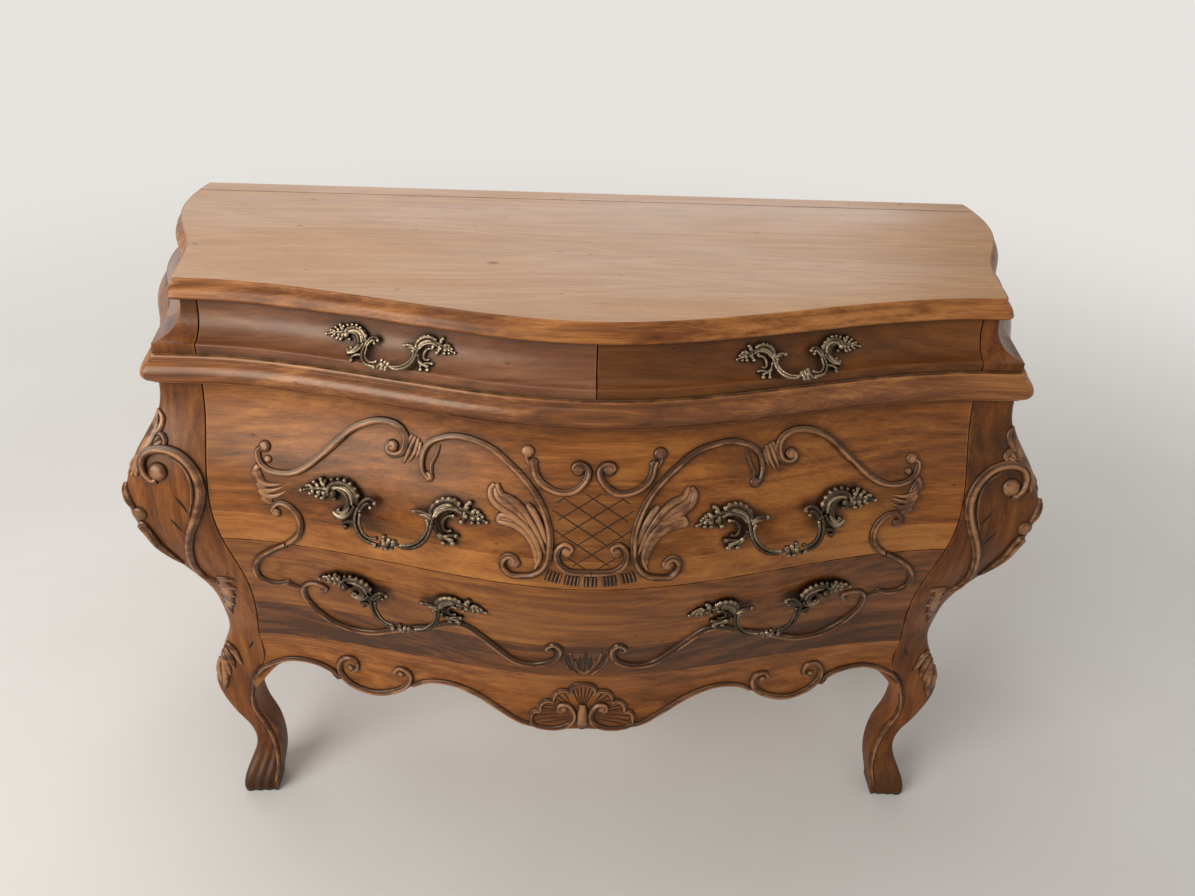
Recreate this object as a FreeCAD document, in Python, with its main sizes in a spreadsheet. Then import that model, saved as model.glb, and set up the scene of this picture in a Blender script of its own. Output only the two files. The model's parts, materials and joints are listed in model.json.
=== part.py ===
"""A bombe chest: a serpentine front that swells in the middle, on cabriole legs, with two small
drawers in a hollow frieze over two deep drawers, and six cast pulls. The origin is the middle of
the floor under the chest, X runs along its length and the front faces -Y. Sizes are millimetres."""
import FreeCAD, Part
import os
from collections import namedtuple
from types import SimpleNamespace

Vector = FreeCAD.Vector
ACROSS = Vector(1, 0, 0)
BACKWARD = Vector(0, 1, 0)
UPWARD = Vector(0, 0, 1)
CENTRE = Vector(0, 0, 0)

doc = FreeCAD.newDocument("bombe_chest")
sheet = doc.addObject("Spreadsheet::Sheet", "sizes")

# Driving dimensions
SIZES = {
    # Heights, from the floor up
    "leg_height": 310,
    "lower_height": 212,
    "upper_height": 205,
    "waist_height": 37,
    "frieze_height": 60,
    "top_thick": 26,
    # Plan: the corner under the waist moulding, and the bows of the front and of the sides
    "corner_half": 531,
    "carcass_depth": 362,
    "front_bow": 92,
    "side_bow": 56,
    # Swell of the body
    "front_swell": 50,
    "corner_swell": 55,
    "corner_lag": 12,
    # Posts and legs
    "post_width": 51,
    "bow_lap": 10,
    "post_pinch": 22,
    "post_depth": 72,
    "leg_width": 60,
    "rear_post": 45,
    # Mouldings
    "waist_reach": 16,
    "corner_ease": 10,
    "frieze_flare": 32,
    "top_overhang": 3,
    "top_edge": 10,
    "top_strip": 31,
    # Boards
    "front_thick": 24,
    "frieze_thick": 18,
    "panel_thick": 18,
    "board_thick": 18,
    "rail_thick": 18,
    "back_thick": 12,
    "divider_thick": 20,
    "apron_depth": 114,
    "side_drop": 56,
    "back_drop": 50,
    # Drawer boxes and what they run on
    "drawer_side": 12,
    "drawer_bottom": 6,
    "bottom_lift": 10,
    "groove_depth": 5,
    "drawer_gap": 1.5,
    "joint_gap": 0.5,
    "run_gap": 0.8,
    "box_gap": 6,
    "box_head": 12,
    "frieze_head": 8,
    "rear_gap": 14,
    "rail_gap": 3,
    "guide_gap": 1.5,
    "guide_thick": 14,
    "guide_height": 20,
    "runner_reach": 26,
    # Pulls and their screws
    "pull_span": 150,
    "pull_drop": 46,
    "pull_reach": 30,
    "pull_rod": 9,
    "pull_knot": 17,
    "pull_boss": 15,
    "leaf_length": 78,
    "leaf_width": 28,
    "leaf_thick": 15,
    "small_span": 108,
    "small_drop": 27,
    "small_reach": 24,
    "small_rod": 7,
    "small_knot": 13,
    "small_boss": 12,
    "small_leaf_length": 54,
    "small_leaf_width": 20,
    "small_leaf_thick": 11,
    "screw_width": 5,
    "screw_head_width": 10,
    "screw_head_thick": 3,
    "screw_seat": 11,
    "screw_gap": 0.3,
    # Extra length of every cutting shape
    "overrun": 30,
}
# Sizes that follow from others, as the sheet's own formulas
FORMULAS = {
    "post_half": "=corner_half - post_width",
    "bow_half": "=post_half + bow_lap",
}
CELLS = {**SIZES, **FORMULAS}
for row, (alias, value) in enumerate(CELLS.items(), start=1):
    sheet.set(f"A{row}", alias)
    sheet.set(f"B{row}", str(value))
    sheet.setAlias(f"B{row}", alias)
doc.recompute()
size = SimpleNamespace(**{alias: float(sheet.get(alias)) for alias in CELLS})

# Levels and planes that several pieces share
divide_z = size.leg_height + size.lower_height
waist_z = divide_z + size.upper_height
frieze_z = waist_z + size.waist_height
top_z = frieze_z + size.frieze_height
post_top_z = frieze_z - size.board_thick
back_y = (size.carcass_depth + size.front_swell + size.front_bow) / 2
face_y = back_y - size.carcass_depth
ahead_y = -back_y - size.overrun
post_back_y = face_y + size.post_depth
rear_post_y = back_y - size.rear_post
panel_y = back_y - size.back_thick
far_x = size.corner_half + size.corner_swell + size.side_bow + size.overrun
deep_half = size.post_half - size.post_pinch - size.box_gap

# Shares of the swelling body, by height from the drawers' foot (0) to the waist (1)
Body = namedtuple("Body", "height swell bow pinch corner lag side")
BODY_SHARES = [
    Body(-0.30, -0.20, 0.84, 0.20, 0.15, 0.30, 0.60),
    Body(-0.16, -0.15, 0.85, 0.35, 0.09, 0.60, 0.62),
    Body(0.00, -0.04, 0.87, 0.56, -0.34, 1.00, 0.64),
    Body(0.10, 0.17, 0.89, 0.79, -0.38, 1.00, 0.68),
    Body(0.22, 0.43, 0.92, 1.00, -0.29, 1.00, 0.70),
    Body(0.36, 0.72, 0.96, 0.84, 0.24, 1.00, 0.61),
    Body(0.50, 0.94, 1.00, 0.28, 0.82, 1.00, 0.50),
    Body(0.60, 1.00, 1.00, 0.02, 1.00, 1.00, 0.46),
    Body(0.70, 0.89, 1.00, -0.05, 0.91, 0.88, 0.54),
    Body(0.79, 0.65, 0.99, 0.00, 0.56, 0.66, 0.68),
    Body(0.91, 0.21, 0.98, 0.05, 0.07, 0.25, 0.90),
    Body(1.00, 0.00, 0.98, 0.00, 0.00, 0.00, 1.00),
]
BODY_TOP = BODY_SHARES[-1]

# Shares of the legs, by height from the floor (0) to the drawers' foot (1)
Leg = namedtuple("Leg", "height corner out width depth")
LEG_SHARES = [
    Leg(0.000, -0.13, 0.56, 0.87, 0.87),
    Leg(0.065, -0.16, 0.50, 0.87, 0.85),
    Leg(0.145, -0.34, 0.18, 0.78, 0.75),
    Leg(0.230, -0.49, -0.13, 0.63, 0.64),
    Leg(0.330, -0.35, -0.29, 0.61, 0.68),
    Leg(0.413, -0.08, -0.30, 0.65, 0.76),
    Leg(0.500, 0.14, -0.30, 0.73, 0.86),
    Leg(0.700, 0.25, -0.22, 0.99, 1.04),
]
REAR_LEG_SHARE = 0.52

# Shares of the side bow along the side, from the front corner (0) to the back (1)
SIDE_SHARES = [
    (0.00, 0.00),
    (0.12, 0.09),
    (0.26, 0.17),
    (0.40, 0.42),
    (0.55, 0.80),
    (0.70, 1.03),
    (0.86, 1.05),
    (1.00, 0.90),
]

# Frieze: a plain fillet under a hollow, as height and flare
FRIEZE_SHARES = [
    (0.00, 1.00),
    (0.21, 1.00),
    (0.22, 0.97),
    (0.23, 0.84),
    (0.25, 0.71),
    (0.29, 0.55),
    (0.34, 0.42),
    (0.40, 0.31),
    (0.47, 0.21),
    (0.56, 0.12),
    (0.66, 0.06),
    (0.80, 0.02),
    (1.00, 0.00),
]

# Waist moulding: a fillet, a full torus and a thin cap, as height and reach
WAIST_SHARES = [
    (0.00, 0.30),
    (0.02, 0.46),
    (0.08, 0.48),
    (0.10, 0.64),
    (0.16, 0.82),
    (0.24, 0.94),
    (0.34, 1.00),
    (0.44, 0.99),
    (0.54, 0.92),
    (0.63, 0.82),
    (0.71, 0.68),
    (0.77, 0.53),
    (0.80, 0.42),
    (0.82, 0.38),
    (0.94, 0.37),
    (0.98, 0.32),
    (1.00, 0.28),
]

# Edge of the top: a rounded lip, an ovolo and a fillet, as height and reach
TOP_SHARES = [
    (0.00, 0.40),
    (0.04, 0.74),
    (0.10, 0.94),
    (0.17, 1.00),
    (0.23, 0.97),
    (0.27, 0.91),
    (0.36, 0.86),
    (0.46, 0.76),
    (0.55, 0.62),
    (0.63, 0.45),
    (0.69, 0.28),
    (0.72, 0.16),
    (0.75, 0.14),
    (0.90, 0.14),
    (0.96, 0.09),
    (1.00, -0.06),
]

# Lower edge of the apron, as shares of the half length and of the apron's depth
APRON_SHARES = [
    (0.00, 0.97),
    (0.09, 1.00),
    (0.17, 0.97),
    (0.29, 0.64),
    (0.39, 0.48),
    (0.47, 0.50),
    (0.55, 0.72),
    (0.63, 0.86),
    (0.70, 0.84),
    (0.76, 0.62),
    (0.84, 0.47),
    (0.92, 0.54),
    (0.97, 0.74),
    (1.02, 1.00),
]

# Lower edge of a side, as shares of its length and of its drop
SIDE_EDGE_SHARES = [
    (0.00, 1.00),
    (0.14, 0.62),
    (0.32, 0.55),
    (0.50, 0.95),
    (0.68, 0.55),
    (0.86, 0.62),
    (1.00, 1.00),
]

# Places of the pulls' fixings, as shares of the half length and of their drawers' heights
PULL_OFFSET_SHARE = 0.50625
FRIEZE_PULL_SHARE = 0.56
UPPER_PULL_SHARE = 0.45
LOWER_PULL_SHARE = 0.73
# Bow of a pull, as shares of its half span, drop and reach
PULL_BOW_SHARES = [
    (-1.00, -0.10, 0.45),
    (-0.78, -0.60, 0.82),
    (0.00, -1.00, 1.00),
    (0.78, -0.60, 0.82),
    (1.00, -0.10, 0.45),
]
LEAF_TURN_SHARE = 0.3
SCREW_BITE_SHARE = 0.4

nodes = []


def node(label, shape):
    """Add a finished piece that has a free shape."""
    piece = doc.addObject("Part::Feature", label)
    piece.Label = label
    piece.Shape = shape
    nodes.append(piece)
    return piece


def pair(label, right):
    """Add a piece on the right and its mirror image on the left."""
    return node(label + "_left", mirrored(right)), node(label + "_right", right)


def mirrored(shape):
    return shape.mirror(CENTRE, ACROSS)


def tool(kind, label):
    thing = doc.addObject(kind, label)
    thing.Label = label
    return thing


def block(label, length, width, height, corner):
    """A box whose sizes are bound to the sheet."""
    box = tool("Part::Box", label)
    box.setExpression("Length", length)
    box.setExpression("Width", width)
    box.setExpression("Height", height)
    box.Placement.Base = corner
    return box


def cut(label, base, cutter):
    piece = tool("Part::Cut", label)
    piece.Base = base
    piece.Tool = cutter
    return piece


def solid_box(low, high):
    span = high - low
    return Part.makeBox(span.x, span.y, span.z, low)


def largest(shape):
    return max(shape.Solids, key=lambda solid: solid.Volume)


# Plan curves of the front and of the sides

def line(start, end):
    return Part.makeLine(start, end)


def bezier(poles):
    curve = Part.BezierCurve()
    curve.setPoles(poles)
    return curve.toShape()


def spline(points, parameters=None):
    curve = Part.BSplineCurve()
    if parameters:
        curve.interpolate(Points=points, Parameters=parameters)
    else:
        curve.interpolate(Points=points)
    return curve


def bow_edges(face, bow, z):
    """The front's bow from left to right, as two cubic halves that leave the ends level."""
    third = size.bow_half / 3
    poles = ((-3, 0), (-2, 0), (-1, 1), (0, 1))
    left = [Vector(step * third, face - rise * bow, z) for step, rise in poles]
    right = [Vector(-point.x, point.y, z) for point in reversed(left)]
    return [bezier(left), bezier(right)]


def bow_depth(x):
    along = min(abs(x) / size.bow_half, 1)
    return 1 - 3 * along ** 2 + 2 * along ** 3


def side_curve(corner, bow):
    """The right side's plan from its front corner to the back."""
    run = back_y - corner.y
    points = [
        Vector(corner.x + out * bow, corner.y + along * run, corner.z)
        for along, out in SIDE_SHARES
    ]
    return spline(points, [along for along, out in SIDE_SHARES])


def side_point(corner, bow, y):
    return side_curve(corner, bow).value((y - corner.y) / (back_y - corner.y))


def front_flats(corner, bow):
    """The whole front from corner to corner: a flat, the bow and a flat."""
    mirror_corner = Vector(-corner.x, corner.y, corner.z)
    ends = [Vector(side * size.bow_half, corner.y, corner.z) for side in (-1, 1)]
    flats = [line(mirror_corner, ends[0]), line(ends[1], corner)]
    return flats[:1] + bow_edges(corner.y, bow, corner.z) + flats[1:]


def outline(corner, bow, side_bow):
    """The closed plan of a board that follows the front, both sides and the back."""
    side = side_curve(corner, side_bow).toShape()
    rear = side_point(corner, side_bow, back_y)
    back = line(rear, Vector(-rear.x, rear.y, rear.z))
    return Part.Wire(front_flats(corner, bow) + [side, back, mirrored(side)])


def eased(corner, bow):
    """A rounded front corner: its start on the flat, its middle, and the edges of its two halves."""
    start = corner - ACROSS * size.corner_ease
    stop = side_point(corner, bow, corner.y + size.corner_ease)
    middle = (start + corner * 2 + stop) / 4
    before = bezier([start, (start + corner) / 2, middle])
    after = bezier([middle, (corner + stop) / 2, stop])
    return start, middle, before, after


def eased_side(corner, bow):
    """The right side's plan from the end of its rounded corner to the back."""
    share = size.corner_ease / (back_y - corner.y)
    return side_curve(corner, bow).toShape(share, 1)


def eased_outline(corner, bow, side_bow):
    """The same closed plan with rounded front corners."""
    start, middle, before, after = eased(corner, side_bow)
    rear = side_point(corner, side_bow, back_y)
    back = line(rear, Vector(-rear.x, rear.y, rear.z))
    right = [before, after, eased_side(corner, side_bow)]
    left = [mirrored(edge) for edge in right[::-1]]
    return Part.Wire(front_flats(start, bow) + right + [back] + left)


def prism(edges, run):
    return Part.Face(Part.Wire(edges)).extrude(run)


# Measures of the body at one height

def level(at):
    return size.leg_height + at.height * (waist_z - size.leg_height)


def face(at):
    return face_y - at.swell * size.front_swell


def post_x(at):
    return size.post_half - at.pinch * size.post_pinch


def body_corner(at, z):
    return Vector(
        size.corner_half + at.corner * size.corner_swell,
        face(at) + at.lag * size.corner_lag,
        z,
    )


def body_levels():
    """Heights of the body's sections, run on past the posts' heads."""
    return [(level(at), at) for at in BODY_SHARES] + [(post_top_z + size.overrun, BODY_TOP)]


def frieze_corner(height, flare):
    back_from_foot = (1 - flare) * size.frieze_flare
    z = frieze_z + height * size.frieze_height
    return Vector(size.corner_half - back_from_foot, face_y + back_from_foot, z)


def bowed_section(face_at, bow, z, thick):
    """A board's section along the front: the bow, and the same bow one thickness behind it."""
    ends = [Vector(size.bow_half, face_at, z), Vector(size.bow_half, face_at + thick, z)]
    others = [Vector(-point.x, point.y, z) for point in ends]
    inner = bow_edges(face_at + thick, bow, z)[::-1]
    return Part.Wire(bow_edges(face_at, bow, z) + [line(*ends)] + inner + [line(*others[::-1])])


def space_section(face_at, bow, z, thick):
    """All that lies ahead of a bowed board's inner face."""
    ends = [Vector(size.bow_half, ahead_y, z), Vector(size.bow_half, face_at + thick, z)]
    others = [Vector(-point.x, point.y, z) for point in ends]
    inner = bow_edges(face_at + thick, bow, z)[::-1]
    return Part.Wire([line(others[0], ends[0]), line(*ends)] + inner + [line(*others[::-1])])


def loft(sections, ruled=False):
    return Part.makeLoft(sections, True, ruled)


def side_section(corner, bow, thick):
    """A side's section: its outer curve, and the same curve one thickness inside."""
    inside = Vector(corner.x - thick, corner.y, corner.z)
    rears = [side_point(corner, bow, back_y), side_point(inside, bow, back_y)]
    curves = [side_curve(at, bow).toShape() for at in (corner, inside)]
    return Part.Wire([curves[0], line(*rears), curves[1], line(inside, corner)])


def four_corners(points):
    return Part.makePolygon(points + points[:1])


# Swelling front of the body and of the frieze, as whole curved boards and the space ahead of them

def body_board(section):
    sections = [
        section(face(at), at.bow * size.front_bow, z, size.front_thick)
        for z, at in body_levels()
    ]
    return loft(sections)


def frieze_board(section):
    bow = BODY_TOP.bow * size.front_bow
    corners = [frieze_corner(height, flare) for height, flare in FRIEZE_SHARES]
    return loft([section(at.y, bow, at.z, size.frieze_thick) for at in corners], True)


body_front = body_board(bowed_section)
frieze_front = frieze_board(bowed_section)
body_space = tool("Part::Feature", "body_space")
body_space.Shape = body_board(space_section)
# Spaces for the drawer boxes, a joint gap behind the fronts
body_room = tool("Part::Feature", "body_room")
body_room.Shape = body_space.Shape.translated(BACKWARD * size.joint_gap)
frieze_room = tool("Part::Feature", "frieze_room")
frieze_room.Shape = frieze_board(space_section).translated(BACKWARD * size.joint_gap)


# Posts and legs

def leg_section(at):
    """Four corners of a front leg at one height, from its inner front corner round the outside."""
    x = size.corner_half + at.corner * size.corner_swell
    y = face_y - at.out * size.front_swell
    z = at.height * size.leg_height
    inside = x - at.width * size.leg_width
    behind = y + at.depth * size.leg_width
    return [Vector(inside, y, z), Vector(x, y, z), Vector(x, behind, z), Vector(inside, behind, z)]


def post_section(at, z):
    """Four corners of a front post at one height, in the same order."""
    corner = body_corner(at, z)
    inside = post_x(at)
    front = face(at) - at.bow * size.front_bow * bow_depth(inside)
    side = side_point(corner, at.side * size.side_bow, post_back_y)
    return [Vector(inside, front, z), corner, side, Vector(inside, post_back_y, z)]


def corner_sections():
    """Sections of a front post that runs down into its cabriole leg."""
    legs = [leg_section(at) for at in LEG_SHARES]
    posts = [post_section(at, level(at)) for at in BODY_SHARES[1:]]
    return legs + posts + [post_section(BODY_TOP, post_top_z)]


def between_posts(gap):
    """The opening between the front posts, less a gap, as a prism from front to back."""
    edge = [points[0] for points in corner_sections()]
    right = [Vector(point.x - gap, ahead_y, point.z) for point in edge]
    left = [Vector(-point.x, ahead_y, point.z) for point in right[::-1]]
    edges = [
        spline(right).toShape(),
        line(right[-1], left[0]),
        spline(left).toShape(),
        line(left[-1], right[0]),
    ]
    return prism(edges, BACKWARD * (back_y - ahead_y))


def rear_post():
    """A back post that runs down into a plainer leg."""
    sections = []
    for at in LEG_SHARES:
        x = size.corner_half + at.corner * size.corner_swell + REAR_LEG_SHARE * size.side_bow
        z = at.height * size.leg_height
        inside = x - at.width * size.rear_post
        ahead = back_y - at.depth * size.rear_post
        outer = [Vector(x, ahead, z), Vector(x, back_y, z)]
        inner = [Vector(inside, back_y, z), Vector(inside, ahead, z)]
        sections.append(outer + inner)
    upper = [(level(at), at) for at in BODY_SHARES[1:]] + [(post_top_z, BODY_TOP)]
    for z, at in upper:
        corner = body_corner(at, z)
        bow = at.side * size.side_bow
        ahead = side_point(corner, bow, rear_post_y)
        rear = side_point(corner, bow, back_y)
        inside = rear.x - size.rear_post
        sections.append([ahead, rear, Vector(inside, back_y, z), Vector(inside, rear_post_y, z)])
    return loft([four_corners(points) for points in sections])


corner_post_left, corner_post_right = pair(
    "corner_post",
    loft([four_corners(points) for points in corner_sections()]),
)
rear_post_left, rear_post_right = pair("rear_post", rear_post())


# Waist moulding, mitred at the front corners

def waist_corners():
    """Outer and inner corners of the moulding at each height, a joint gap clear of the body."""
    for height, reach in WAIST_SHARES:
        z = waist_z + height * size.waist_height
        outs = (reach * size.waist_reach, size.joint_gap)
        yield [Vector(size.corner_half + out, face_y - out, z) for out in outs]


def waist_front():
    bow = BODY_TOP.bow * size.front_bow
    sections = []
    for outer, inner in waist_corners():
        start, middle, before, after = eased(outer, size.side_bow)
        mitre = line(middle, inner)
        back_run = front_flats(inner, bow)[::-1]
        front_run = [mirrored(before)] + front_flats(start, bow) + [before]
        sections.append(Part.Wire(front_run + [mitre] + back_run + [mirrored(mitre)]))
    return loft(sections, True)


def waist_side():
    sections = []
    for outer, inner in waist_corners():
        start, middle, before, after = eased(outer, size.side_bow)
        rears = [side_point(at, size.side_bow, back_y) for at in (outer, inner)]
        outer_run = [after, eased_side(outer, size.side_bow), line(*rears)]
        inner_run = [side_curve(inner, size.side_bow).toShape(), line(inner, middle)]
        sections.append(Part.Wire(outer_run + inner_run))
    return loft(sections, True)


node("waist_moulding_front", waist_front())
waist_moulding_left, waist_moulding_right = pair("waist_moulding", waist_side())


# Sides, back and boards of the body

def side_panel():
    sections = [
        side_section(body_corner(at, z), at.side * size.side_bow, size.panel_thick)
        for z, at in body_levels()
    ]
    whole = loft(sections)
    start_y = post_back_y + size.joint_gap
    end_y = rear_post_y - size.joint_gap
    foot = [
        Vector(0, start_y + along * (end_y - start_y), size.leg_height - drop * size.side_drop)
        for along, drop in SIDE_EDGE_SHARES
    ]
    head = [Vector(0, end_y, post_top_z), Vector(0, start_y, post_top_z)]
    edges = [spline(foot).toShape(), line(foot[-1], head[0]), line(*head), line(head[1], foot[0])]
    return whole.common(prism(edges, ACROSS * far_x)).cut(waist_moulding_right.Shape)


side_panel_left, side_panel_right = pair("side_panel", side_panel())

back_blank = block(
    "back_blank",
    "2 * (sizes.corner_half + sizes.side_bow)",
    "sizes.back_thick",
    "sizes.lower_height + sizes.upper_height + sizes.waist_height - sizes.board_thick + sizes.back_drop",
    Vector(-size.corner_half - size.side_bow, panel_y, size.leg_height - size.back_drop),
)
doc.recompute()
back_panel = node(
    "back_panel",
    largest(back_blank.Shape.cut([rear_post_left.Shape, rear_post_right.Shape])),
)


def apron():
    """The shaped apron under the drawers, let in between the legs."""
    right = [
        Vector(along * size.post_half, ahead_y, size.leg_height - drop * size.apron_depth)
        for along, drop in APRON_SHARES
    ]
    left = [Vector(-point.x, point.y, point.z) for point in right[:0:-1]]
    foot = left + right
    head = [Vector(side * foot[-1].x, ahead_y, size.leg_height) for side in (1, -1)]
    edges = [spline(foot).toShape(), line(foot[-1], head[0]), line(*head), line(head[1], foot[0])]
    board = body_front.common(prism(edges, BACKWARD * (panel_y - ahead_y)))
    return board.common(between_posts(size.joint_gap))


apron_node = node("apron", apron())


def bottom_board():
    """The board that the lower drawer runs on, let in between apron, posts, sides and back."""
    at = BODY_SHARES[2]
    corner = body_corner(at, size.leg_height - size.board_thick)
    plan = Part.Face(outline(corner, at.bow * size.front_bow, at.side * size.side_bow))
    around = (apron_node, corner_post_left, corner_post_right, rear_post_left, rear_post_right)
    around += (side_panel_left, side_panel_right, back_panel)
    board = plan.extrude(UPWARD * size.board_thick).cut(body_space.Shape)
    return largest(board.cut([piece.Shape for piece in around]))


node("bottom_board", bottom_board())


def drawer_rail():
    """The rail between the deep drawers, behind their fronts."""
    low_z = divide_z - size.rail_thick / 2
    low = Vector(-size.bow_half, -back_y, low_z)
    blank = solid_box(low, Vector(size.bow_half, post_back_y, low_z + size.rail_thick))
    ahead = body_space.Shape.translated(BACKWARD * size.rail_gap)
    return blank.cut(ahead).common(between_posts(size.joint_gap))


node("drawer_rail", drawer_rail())
rail_low = Vector(-size.post_half, ahead_y, waist_z)
rail_high = Vector(size.post_half, back_y, post_top_z)
node("waist_rail", body_front.common(solid_box(rail_low, rail_high)))

waist_corner = Vector(size.corner_half, face_y, post_top_z)
waist_plan = outline(waist_corner, BODY_TOP.bow * size.front_bow, size.side_bow)
node("waist_board", Part.Face(waist_plan).extrude(UPWARD * size.board_thick))


# Frieze

def frieze_post():
    sections = []
    bow = BODY_TOP.bow * size.front_bow
    for height, flare in FRIEZE_SHARES:
        corner = frieze_corner(height, flare)
        front = corner.y - bow * bow_depth(size.post_half)
        side = side_point(corner, size.side_bow, post_back_y)
        inside = [Vector(size.post_half, y, corner.z) for y in (front, post_back_y)]
        sections.append(four_corners([inside[0], corner, side, inside[1]]))
    return loft(sections, True)


def frieze_side():
    corners = [frieze_corner(height, flare) for height, flare in FRIEZE_SHARES]
    whole = loft([side_section(at, size.side_bow, size.panel_thick) for at in corners], True)
    return whole.common(solid_box(Vector(0, post_back_y, frieze_z), Vector(far_x, back_y, top_z)))


pair("frieze_post", frieze_post())
frieze_side_left, frieze_side_right = pair("frieze_side", frieze_side())
frieze_back_blank = block(
    "frieze_back_blank",
    "2 * (sizes.corner_half + sizes.side_bow)",
    "sizes.back_thick",
    "sizes.frieze_height",
    Vector(-size.corner_half - size.side_bow, panel_y, frieze_z),
)
doc.recompute()
node(
    "frieze_back",
    largest(frieze_back_blank.Shape.cut([frieze_side_left.Shape, frieze_side_right.Shape])),
)
divider_y = face_y - BODY_TOP.bow * size.front_bow + size.frieze_flare + size.frieze_thick + size.rail_gap
divider = block(
    "frieze_divider",
    "sizes.divider_thick",
    "sizes.carcass_depth + {} * sizes.front_bow - sizes.frieze_flare - sizes.frieze_thick"
    " - sizes.rail_gap - sizes.back_thick".format(BODY_TOP.bow),
    "sizes.frieze_height",
    Vector(-size.divider_thick / 2, divider_y, frieze_z),
)
nodes.append(divider)


# Top, in two boards

def top_whole():
    bow = BODY_TOP.bow * size.front_bow
    sections = []
    for height, reach in TOP_SHARES:
        out = reach * size.top_edge + size.top_overhang - size.frieze_flare
        z = top_z + height * size.top_thick
        corner = Vector(size.corner_half + out, face_y - out, z)
        sections.append(eased_outline(corner, bow, size.side_bow))
    return loft(sections, True)


top = top_whole()
strip_low = Vector(-far_x, back_y - size.top_strip, top_z)
strip = solid_box(strip_low, Vector(far_x, back_y + size.overrun, top_z + size.top_thick))
node("top_board", top.cut(strip))
node("top_rear_strip", top.common(strip))


# Runners and guides

def runner(side_name, side):
    """A runner for the upper drawer with a guide on its outer edge."""
    low_x = side * deep_half - size.runner_reach
    guide_x = side * deep_half + size.guide_gap
    if side < 0:
        low_x = -deep_half - size.guide_gap - size.guide_thick
        guide_x = low_x
    depth = "sizes.carcass_depth - sizes.post_depth - sizes.back_thick"
    low_z = divide_z - size.rail_thick / 2
    flat = block(
        f"runner_flat_{side_name}",
        "sizes.runner_reach + sizes.guide_gap + sizes.guide_thick",
        depth,
        "sizes.rail_thick",
        Vector(low_x, post_back_y, low_z),
    )
    guide = block(
        f"runner_guide_{side_name}",
        "sizes.guide_thick",
        depth,
        "sizes.guide_height",
        Vector(guide_x, post_back_y, low_z + size.rail_thick),
    )
    whole = tool("Part::Fuse", f"upper_runner_{side_name}")
    whole.Base = flat
    whole.Tool = guide
    nodes.append(whole)
    lower = block(
        f"lower_guide_{side_name}",
        "sizes.guide_thick",
        depth,
        "sizes.guide_height",
        Vector(guide_x, post_back_y, size.leg_height),
    )
    nodes.append(lower)


runner("left", -1)
runner("right", 1)


# Drawers

def drawer_box(name, low_x, high_x, inside_width, low_z, height, space):
    """Two grooved sides, a back and a bottom, fitted to the front's inner face."""
    end_y = panel_y - size.rear_gap
    depth = (
        "sizes.carcass_depth + sizes.front_swell + sizes.front_bow"
        " - sizes.back_thick - sizes.rear_gap"
    )
    bottom_z = low_z + size.bottom_lift
    for side_name, x in (("left", low_x), ("right", high_x - size.drawer_side)):
        blank = block(
            f"{name}_{side_name}_blank",
            "sizes.drawer_side",
            depth,
            height,
            Vector(x, -back_y, low_z),
        )
        groove_x = low_x + size.drawer_side - size.groove_depth
        if side_name == "right":
            groove_x = x
        groove = block(
            f"{name}_{side_name}_groove",
            "sizes.groove_depth",
            depth,
            "sizes.drawer_bottom",
            Vector(groove_x, -back_y, bottom_z),
        )
        grooved = cut(f"{name}_{side_name}_grooved", blank, groove)
        nodes.append(cut(f"{name}_side_{side_name}", grooved, space))
    back = block(
        f"{name}_back",
        inside_width,
        "sizes.drawer_side",
        f"{height} - sizes.bottom_lift - sizes.drawer_bottom",
        Vector(low_x + size.drawer_side, end_y - size.drawer_side, bottom_z + size.drawer_bottom),
    )
    nodes.append(back)
    floor = block(
        f"{name}_bottom_blank",
        f"{inside_width} + 2 * sizes.groove_depth",
        depth,
        "sizes.drawer_bottom",
        Vector(low_x + size.drawer_side - size.groove_depth, -back_y, bottom_z),
    )
    nodes.append(cut(f"{name}_bottom", floor, space))


def surface_point(board, x, z):
    """Where a line from the front meets a board."""
    met = line(Vector(x, ahead_y, z), Vector(x, back_y, z)).common(board)
    return min((vertex.Point for vertex in met.Vertexes), key=lambda point: point.y)


def pull_frame(board, x, z, span, drop):
    """A placement on a board: X along it, Y up it and Z out of it."""
    along = surface_point(board, x + span / 2, z) - surface_point(board, x - span / 2, z)
    along.normalize()
    up = surface_point(board, x, z + drop / 2) - surface_point(board, x, z - drop / 2)
    up -= along * up.dot(along)
    up.normalize()
    out = along.cross(up)
    at = surface_point(board, x, z)
    return FreeCAD.Placement(at, FreeCAD.Rotation(along, up, out, "XZY"))


def ellipsoid(length, width, thick, place):
    stretch = FreeCAD.Matrix()
    stretch.scale(length / 2, width / 2, thick / 2)
    shape = Part.makeSphere(1).transformGeometry(stretch)
    shape.Placement = place
    return shape


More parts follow.
